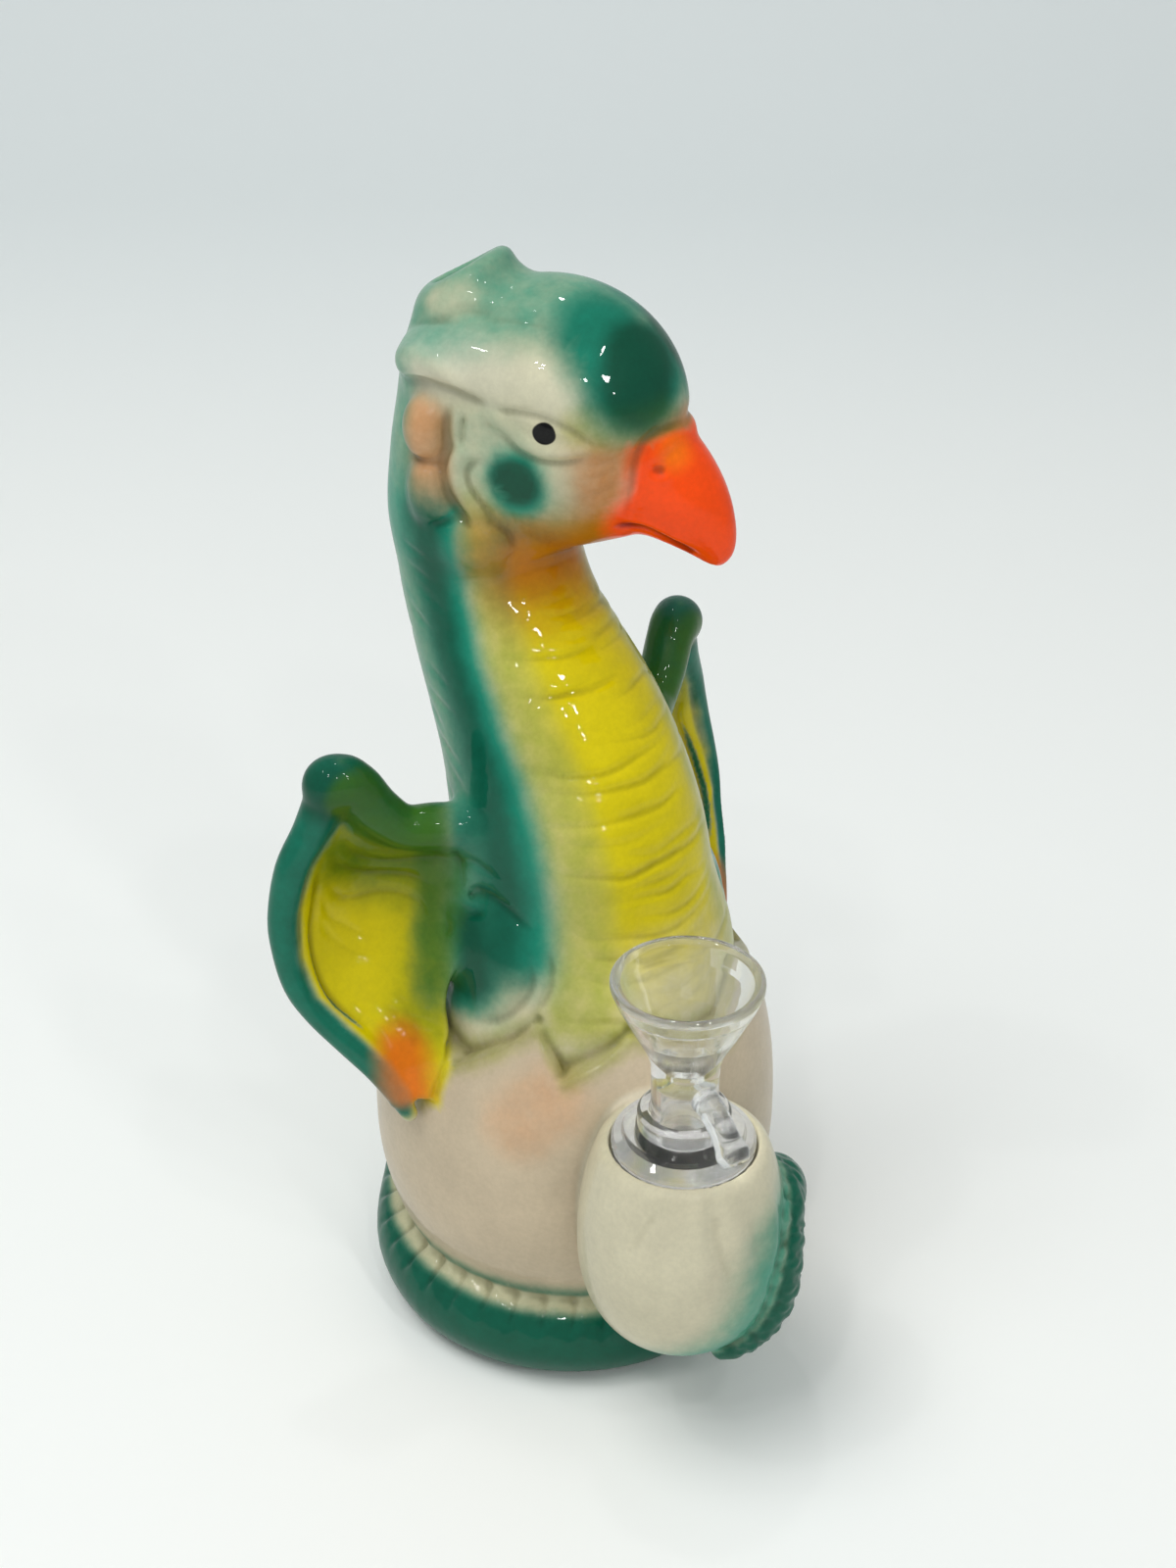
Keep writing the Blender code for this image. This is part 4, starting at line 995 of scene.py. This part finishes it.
def pooling(clay, points, reach):
    """Where the glaze pools: above zero in hollows, below zero on ridges."""
    width = max(1, int(round(reach / CELL)))
    blurred = np.clip(clay.field, -4, 4)
    for axis in range(3):
        total = np.zeros_like(blurred)
        for step in range(-width, width + 1):
            total += np.roll(blurred, step, axis=axis)
        blurred = total / (2 * width + 1)
    return -clay.at(points, blurred) / reach


def set_attributes(mesh, masks):
    for name, values in masks.items():
        attribute = mesh.attributes.new(name, "FLOAT", "POINT")
        attribute.data.foreach_set("value", np.clip(values, -1, 1).astype(np.float32))


# ---- materials
class Recipe:
    """A material and short ways to add and join its nodes."""

    def __init__(self, name):
        self.material = bpy.data.materials.new(name)
        self.material.use_nodes = True
        self.tree = self.material.node_tree
        self.shader = self.tree.nodes["Principled BSDF"]

    def node(self, kind, **settings):
        node = self.tree.nodes.new(kind)
        for key, value in settings.items():
            setattr(node, key, value)
        return node

    def join(self, output, entry):
        self.tree.links.new(output, entry)

    def feed(self, entry, value):
        if isinstance(value, bpy.types.NodeSocket):
            self.join(value, entry)
        else:
            entry.default_value = value

    def sum(self, operation, first, second=0.0, third=None, clamp=False):
        node = self.node("ShaderNodeMath", operation=operation, use_clamp=clamp)
        self.feed(node.inputs[0], first)
        self.feed(node.inputs[1], second)
        if third is not None:
            self.feed(node.inputs[2], third)
        return node.outputs[0]

    def mix(self, share, first, second, way="MIX"):
        node = self.node("ShaderNodeMix", data_type="RGBA", blend_type=way)
        self.feed(node.inputs[0], share)
        self.feed(node.inputs[6], first)
        self.feed(node.inputs[7], second)
        return node.outputs[2]

    def stain(self, name):
        return self.node("ShaderNodeAttribute", attribute_name=name).outputs["Fac"]

    def place(self):
        return self.node("ShaderNodeTexCoord").outputs["Object"]

    def speckle(self, size, detail=3.0, rough=0.55, place=None):
        """Noise whose lumps are about size metres across."""
        node = self.node("ShaderNodeTexNoise")
        self.join(place or self.place(), node.inputs["Vector"])
        node.inputs["Scale"].default_value = 1 / size
        node.inputs["Detail"].default_value = detail
        node.inputs["Roughness"].default_value = rough
        return node.outputs["Fac"]

    def ramp(self, value, start, end, low=0.0, high=1.0):
        node = self.node("ShaderNodeMapRange", interpolation_type="SMOOTHSTEP")
        for entry, number in (("From Min", start), ("From Max", end), ("To Min", low),
                              ("To Max", high)):
            node.inputs[entry].default_value = number
        self.join(value, node.inputs["Value"])
        return node.outputs["Result"]

    def bump(self, height, distance, strength=1.0, after=None):
        node = self.node("ShaderNodeBump")
        node.inputs["Distance"].default_value = distance
        node.inputs["Strength"].default_value = strength
        self.join(height, node.inputs["Height"])
        if after is not None:
            self.join(after, node.inputs["Normal"])
        return node.outputs["Normal"]


CREAM = (0.560, 0.520, 0.330, 1)
EGG_PINK = (0.540, 0.445, 0.310, 1)
PALE = (0.620, 0.610, 0.480, 1)
YELLOW = (0.640, 0.530, 0.001, 1)
GREEN = (0.040, 0.125, 0.004, 1)
AMBER = (0.420, 0.130, 0.001, 1)
CORAL = (0.950, 0.070, 0.001, 1)
GLOW = (0.950, 0.190, 0.002, 1)
BLUSH = (0.620, 0.340, 0.170, 1)
TEAL = (0.010, 0.250, 0.160, 1)
DEEP_TEAL = (0.001, 0.065, 0.034, 1)
POOLED = (0.220, 0.210, 0.100, 1)
PUPIL = (0.001, 0.001, 0.001, 1)
CLEAR = (0.985, 0.992, 0.990, 1)
DARK_RUBBER = (0.34, 0.335, 0.32, 1)
DUSTY_RUBBER = (0.44, 0.435, 0.42, 1)
GLASS_THINNESS = 0.18                   # share of light that goes straight through the glass


def spotty(recipe, mask, spots, amount):
    """A mask whose soft edge wanders a little, as a hand sprayer leaves it."""
    wandering = recipe.sum("MULTIPLY_ADD", spots, amount, -0.5 * amount)
    inner = recipe.sum("MULTIPLY", mask, recipe.sum("SUBTRACT", 1.0, mask))
    moved = recipe.sum("MULTIPLY_ADD", recipe.sum("MULTIPLY", inner, 4.0), wandering, mask)
    return recipe.sum("ADD", moved, 0.0, clamp=True)


def glazed_ceramic():
    """Stained cream clay under a thick clear glaze."""
    r = Recipe("stained_glaze")
    clouds = r.speckle(0.014, 4, 0.6)
    grains = r.speckle(0.0012, 3, 0.7)
    streaks = r.speckle(0.005, 3, 0.6)

    def stained(name, amount):
        return spotty(r, r.stain(name), streaks, amount)
    colour = r.mix(stained("egg_side", 0.2), CREAM, EGG_PINK)
    colour = r.mix(r.stain("brow_pale"), colour, PALE)
    for name, wander, stain in (
            ("blush_stain", 0.5, BLUSH), ("yellow_stain", 0.7, YELLOW),
            ("amber_stain", 0.5, AMBER), ("teal_stain", 0.6, TEAL),
            ("deep_stain", 0.4, DEEP_TEAL), ("green_stain", 0.5, GREEN),
            ("coral_stain", 0.3, CORAL), ("glow_stain", 0.3, GLOW)):
        colour = r.mix(stained(name, wander), colour, stain)
    colour = r.mix(r.stain("mouth_line"), colour, AMBER, "MULTIPLY")
    pool = r.stain("pooled_glaze")
    colour = r.mix(r.ramp(pool, 0.04, 0.32, 0, 0.55), colour, POOLED, "MULTIPLY")
    ridge = r.sum("MULTIPLY", r.ramp(pool, -0.24, -0.50, 0, 0.22),
                  r.ramp(streaks, 0.3, 0.6, 0.4, 1))
    colour = r.mix(ridge, colour, CREAM)
    tone = r.ramp(clouds, 0.3, 0.7, 0.93, 1.05)
    tone = r.sum("MULTIPLY", tone, r.ramp(grains, 0.3, 0.7, 0.96, 1.03))
    shade = r.node("ShaderNodeCombineColor")
    for entry in shade.inputs:
        r.join(tone, entry)
    colour = r.mix(1.0, colour, shade.outputs[0], "MULTIPLY")
    colour = r.mix(eye_mask(r), colour, PUPIL)
    r.join(colour, r.shader.inputs["Base Color"])
    r.shader.inputs["Roughness"].default_value = 0.4
    r.shader.inputs["Specular IOR Level"].default_value = 0.05
    r.shader.inputs["Coat Weight"].default_value = 0.40
    r.shader.inputs["Coat Roughness"].default_value = 0.02
    r.shader.inputs["Coat IOR"].default_value = 1.5
    ripple = r.bump(r.speckle(0.006, 2, 0.5), 0.00035, 0.5)
    r.join(ripple, r.shader.inputs["Normal"])
    r.join(ripple, r.shader.inputs["Coat Normal"])
    return r.material


def eye_mask(recipe):
    """A crisp dot of black stain on each side of the head."""
    dots = None
    for side in (-1, 1):
        centre = head_place(EYE[0], side * EYE[1], EYE[2]) * MM
        gap = recipe.node("ShaderNodeVectorMath", operation="DISTANCE")
        recipe.join(recipe.place(), gap.inputs[0])
        gap.inputs[1].default_value = tuple(centre)
        radius = EYE_RADIUS * MM
        dot = recipe.ramp(gap.outputs["Value"], radius * 1.06, radius * 0.94)
        dots = dot if dots is None else recipe.sum("MAXIMUM", dots, dot)
    return dots


def clear_glass():
    """Lamp-worked clear glass, with the faint waves that hand turning leaves."""
    r = Recipe("lampworked_glass")
    r.shader.inputs["Base Color"].default_value = CLEAR
    r.shader.inputs["Roughness"].default_value = 0.015
    r.shader.inputs["IOR"].default_value = 1.47
    r.shader.inputs["Transmission Weight"].default_value = 1.0
    waves = r.bump(r.speckle(0.007, 2, 0.5), 0.0004, 0.35)
    r.join(waves, r.shader.inputs["Normal"])
    thin = r.node("ShaderNodeBsdfTransparent")
    blend = r.node("ShaderNodeMixShader")
    shadow = r.node("ShaderNodeLightPath").outputs["Is Shadow Ray"]
    r.join(r.sum("MAXIMUM", shadow, GLASS_THINNESS), blend.inputs[0])
    r.join(r.shader.outputs[0], blend.inputs[1])
    r.join(thin.outputs[0], blend.inputs[2])
    r.join(blend.outputs[0], r.tree.nodes["Material Output"].inputs["Surface"])
    return r.material


def grey_rubber():
    """Dusty rubber of the ring that holds the glass."""
    r = Recipe("grommet_rubber")
    dust = r.speckle(0.0009, 3, 0.7)
    colour = r.mix(r.ramp(dust, 0.35, 0.75), DARK_RUBBER, DUSTY_RUBBER)
    r.join(colour, r.shader.inputs["Base Color"])
    r.shader.inputs["Roughness"].default_value = 0.62
    r.join(r.bump(r.speckle(0.0006, 2, 0.6), 0.0001, 0.5), r.shader.inputs["Normal"])
    return r.material


# ---- glass and rubber pieces
TURNING_RADIUS = 0.02                   # of the guide circle that an outline is turned along


def turning_tree():
    """Geometry Nodes tree that turns an outline about an upright axis and rounds its corners."""
    tree = bpy.data.node_groups.new("turned_piece", "GeometryNodeTree")
    face = tree.interface
    face.new_socket("Geometry", in_out="INPUT", socket_type="NodeSocketGeometry")
    for name, kind in (("Corner Radius", "Float"), ("Corner Steps", "Int"),
                       ("Turning Steps", "Int"), ("Axis Place", "Vector"), ("Finish", "Material")):
        face.new_socket(name, in_out="INPUT", socket_type="NodeSocket" + kind)
    face.new_socket("Geometry", in_out="OUTPUT", socket_type="NodeSocketGeometry")

    add = tree.nodes.new
    start, end = add("NodeGroupInput"), add("NodeGroupOutput")
    outline = add("GeometryNodeMeshToCurve")
    corners = add("GeometryNodeFilletCurve")
    corners.inputs["Limit Radius"].default_value = True
    corners.mode = "POLY"
    circle = add("GeometryNodeCurvePrimitiveCircle")
    circle.inputs["Radius"].default_value = TURNING_RADIUS
    turned = add("GeometryNodeCurveToMesh")
    move = add("GeometryNodeTransform")
    smooth = add("GeometryNodeSetShadeSmooth")
    real = add("GeometryNodeRealizeInstances")
    finish = add("GeometryNodeSetMaterial")
    for output, entry in (
            (start.outputs["Geometry"], outline.inputs[0]),
            (outline.outputs[0], corners.inputs[0]),
            (start.outputs["Corner Radius"], corners.inputs["Radius"]),
            (start.outputs["Corner Steps"], corners.inputs["Count"]),
            (start.outputs["Turning Steps"], circle.inputs["Resolution"]),
            (circle.outputs[0], turned.inputs["Curve"]),
            (corners.outputs[0], turned.inputs["Profile Curve"]),
            (turned.outputs[0], move.inputs["Geometry"]),
            (start.outputs["Axis Place"], move.inputs["Translation"]),
            (move.outputs[0], smooth.inputs[0]),
            (smooth.outputs[0], real.inputs[0]),
            (real.outputs[0], finish.inputs[0]),
            (start.outputs["Finish"], finish.inputs["Material"]),
            (finish.outputs[0], end.inputs[0])):
        tree.links.new(output, entry)
    return tree


def turned_piece(name, outline, tree, material, corner):
    """A piece turned about the socket's axis from an outline of radius and height."""
    places = [(radius * MM - TURNING_RADIUS, -height * MM, 0) for radius, height in outline]
    edges = [(i, (i + 1) % len(places)) for i in range(len(places))]
    mesh = bpy.data.meshes.new(name)
    mesh.from_pydata(places, edges, [])
    piece = add_object(name, mesh)
    turning = piece.modifiers.new("turning", "NODES")
    turning.node_group = tree
    values = {"Corner Radius": corner * MM, "Corner Steps": 4, "Turning Steps": 96,
              "Axis Place": (SOCKET_AXIS[0] * MM, SOCKET_AXIS[1] * MM, 0.0), "Finish": material}
    for item in tree.interface.items_tree:
        if item.item_type == "SOCKET" and item.in_out == "INPUT" and item.name in values:
            turning[item.identifier] = values[item.name]
    face_outwards(plain_mesh(piece))
    return piece


def face_outwards(mesh):
    work = bmesh.new()
    work.from_mesh(mesh)
    bmesh.ops.remove_doubles(work, verts=work.verts, dist=0.000005)
    bmesh.ops.recalc_face_normals(work, faces=work.faces)
    work.to_mesh(mesh)
    work.free()


def rod_handle(material):
    """The bent rod that the bowl is lifted by: a round rod with a flattened, flared end."""
    stations = smooth_path([(*(np.array([*SOCKET_AXIS, 0]) + a * HANDLE_DIRECTION)[:2], z, r)
                            for a, z, r in HANDLE], 6)
    curve = bpy.data.curves.new("rod_handle", "CURVE")
    curve.dimensions = "3D"
    curve.bevel_depth = MM
    curve.bevel_resolution = 8
    curve.use_fill_caps = True
    spline = curve.splines.new("POLY")
    spline.points.add(len(stations) - 1)
    for point, (x, y, z, r) in zip(spline.points, stations):
        point.co = (x * MM, y * MM, z * MM, 1)
        point.radius = r
    rod = add_object("rod_handle", curve)
    graph = bpy.context.evaluated_depsgraph_get()
    mesh = bpy.data.meshes.new_from_object(rod.evaluated_get(graph))
    bpy.data.objects.remove(rod, do_unlink=True)
    mesh.materials.append(material)
    face_outwards(mesh)
    mesh.shade_smooth()
    return add_object("rod_handle", mesh)


# ---- stage, lights and camera
CAMERA_LENS = 52
CAMERA_PLACE = (-0.2795, -0.3040, 0.3665)
CAMERA_AIM = (0.5906, 0.6331, -0.5)
PAPER_BEND = 0.9                        # how far behind the figure the paper starts to turn up
PAPER_BEND_RADIUS = 0.5
PAPER_HALF_WIDTH = 2.6
# colours of the near and far paper; the far one is darker and bluer, as painted shade where less
# light reaches
NEAR_PAPER = (0.92, 0.93, 0.90, 1)
FAR_PAPER_PAINTED_SHADE = (0.86, 0.90, 0.89, 1)
# name, place, size in metres, power in watts
BROAD_LAMPS = (("ceiling_panel", (-0.55, 0.15, 1.5), 1.0, 9.5),
               ("window_side", (-1.0, -1.1, 0.9), 0.9, 2.2))
SPOT_PLACES = ((-0.17, -0.95, 1.02), (-0.22, -1.05, 0.88), (-0.15, -0.75, 1.20),
               (-0.45, -0.85, 1.02), (-0.71, -0.33, 1.19), (-0.63, -0.27, 1.27),
               (-0.61, 0.23, 1.28), (0.17, 0.29, 1.40))
SPOT_SIZE = 0.06
SPOT_POWER = 0.62
ROOM_COLOUR = (0.93, 0.97, 1.0, 1)
ROOM_STRENGTH = 0.45


def paper_sweep():
    """White paper: a floor that turns up far behind the figure. Its colour turns darker and bluer
    further back, as painted shade where less light reaches.
    """
    back = Vector((CAMERA_AIM[0], CAMERA_AIM[1], 0)).normalized()
    side = Vector((back.y, -back.x, 0))
    profile = [(-2.0, 0.0), (PAPER_BEND, 0.0)]
    for step in range(1, 13):
        turn = math.radians(7.5 * step)
        profile.append((PAPER_BEND + PAPER_BEND_RADIUS * math.sin(turn),
                        PAPER_BEND_RADIUS * (1 - math.cos(turn))))
    profile.append((PAPER_BEND + PAPER_BEND_RADIUS, 2.4))
    places = []
    for reach, height in profile:
        for across in (-PAPER_HALF_WIDTH, PAPER_HALF_WIDTH):
            spot = back * reach + side * across
            places.append((spot.x, spot.y, height - 0.0002))
    faces = [(2 * i, 2 * i + 1, 2 * i + 3, 2 * i + 2) for i in range(len(profile) - 1)]
    mesh = bpy.data.meshes.new("paper_sweep")
    mesh.from_pydata(places, [], faces)
    mesh.shade_smooth()
    sweep = add_object("paper_sweep", mesh)
    r = Recipe("white_paper")
    turned = r.node("ShaderNodeVectorMath", operation="DOT_PRODUCT")
    r.join(r.place(), turned.inputs[0])
    turned.inputs[1].default_value = tuple(back)
    # painted shade: the paper darkens and turns bluer further behind the figure
    colour = r.mix(r.ramp(turned.outputs["Value"], 0.25, 1.0), NEAR_PAPER, FAR_PAPER_PAINTED_SHADE)
    r.join(colour, r.shader.inputs["Base Color"])
    r.shader.inputs["Roughness"].default_value = 0.9
    mesh.materials.append(r.material)


def round_lamp(name, place, size, power, in_glaze):
    """A round lamp aimed at the figure; in_glaze says whether the glaze mirrors it."""
    light = bpy.data.lights.new(name, "AREA")
    light.shape = "DISK"
    light.size = size
    light.energy = power
    lamp = bpy.data.objects.new(name, light)
    lamp.location = place
    lamp.rotation_euler = (Vector((0, 0, 0.1)) - Vector(place)).to_track_quat("-Z", "Y").to_euler()
    lamp.visible_glossy = in_glaze
    bpy.context.scene.collection.objects.link(lamp)


def light_studio():
    for name, place, size, power in BROAD_LAMPS:
        round_lamp(name, place, size, power, False)
    for number, place in enumerate(SPOT_PLACES, 1):
        round_lamp(f"ceiling_spot_{number}", place, SPOT_SIZE, SPOT_POWER, True)
    world = bpy.data.worlds.new("pale_room")
    world.use_nodes = True
    background = world.node_tree.nodes["Background"].inputs
    background["Color"].default_value = ROOM_COLOUR
    background["Strength"].default_value = ROOM_STRENGTH
    bpy.context.scene.world = world
    bpy.context.scene.view_settings.view_transform = "Standard"


def add_camera():
    data = bpy.data.cameras.new("camera")
    data.lens = CAMERA_LENS
    data.sensor_width = 36
    data.clip_start = 0.01
    camera = bpy.data.objects.new("camera", data)
    camera.location = CAMERA_PLACE
    camera.rotation_euler = Vector(CAMERA_AIM).to_track_quat("-Z", "Y").to_euler()
    bpy.context.scene.collection.objects.link(camera)
    bpy.context.scene.camera = camera


# ---- making it all
def make_figure():
    clay, lumps = build_figure()
    figure, points, normals = make_skin(clay)
    masks = stain_masks(Surface(points, normals, lumps))
    masks["pooled_glaze"] = pooling(clay, points, POOLING_REACH)
    set_attributes(figure.data, masks)
    figure.data.materials.append(glazed_ceramic())
    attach(figure, "ceramic")
    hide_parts("egg_shell", "body_and_neck", "head", "mouthpiece", "right_wing",
                "left_wing", "tail", "bowl_socket")


def make_glass():
    glass = clear_glass()
    tree = turning_tree()
    stem = turned_piece("glass_downstem", DOWNSTEM, tree, glass, 0.5)
    bowl = turned_piece("funnel_bowl", BOWL, tree, glass, 0.9)
    handle = rod_handle(glass)
    for piece, rides_on, node in ((stem, "downstem", "downstem"), (bowl, "bowl", "glass_bowl"),
                                  (handle, "bowl", "bowl_handle")):
        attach(piece, rides_on)
        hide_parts(node)
    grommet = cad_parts["grommet"]
    grommet.data.materials.clear()
    grommet.data.materials.append(grey_rubber())


add_camera()
make_figure()
make_glass()
paper_sweep()
light_studio()
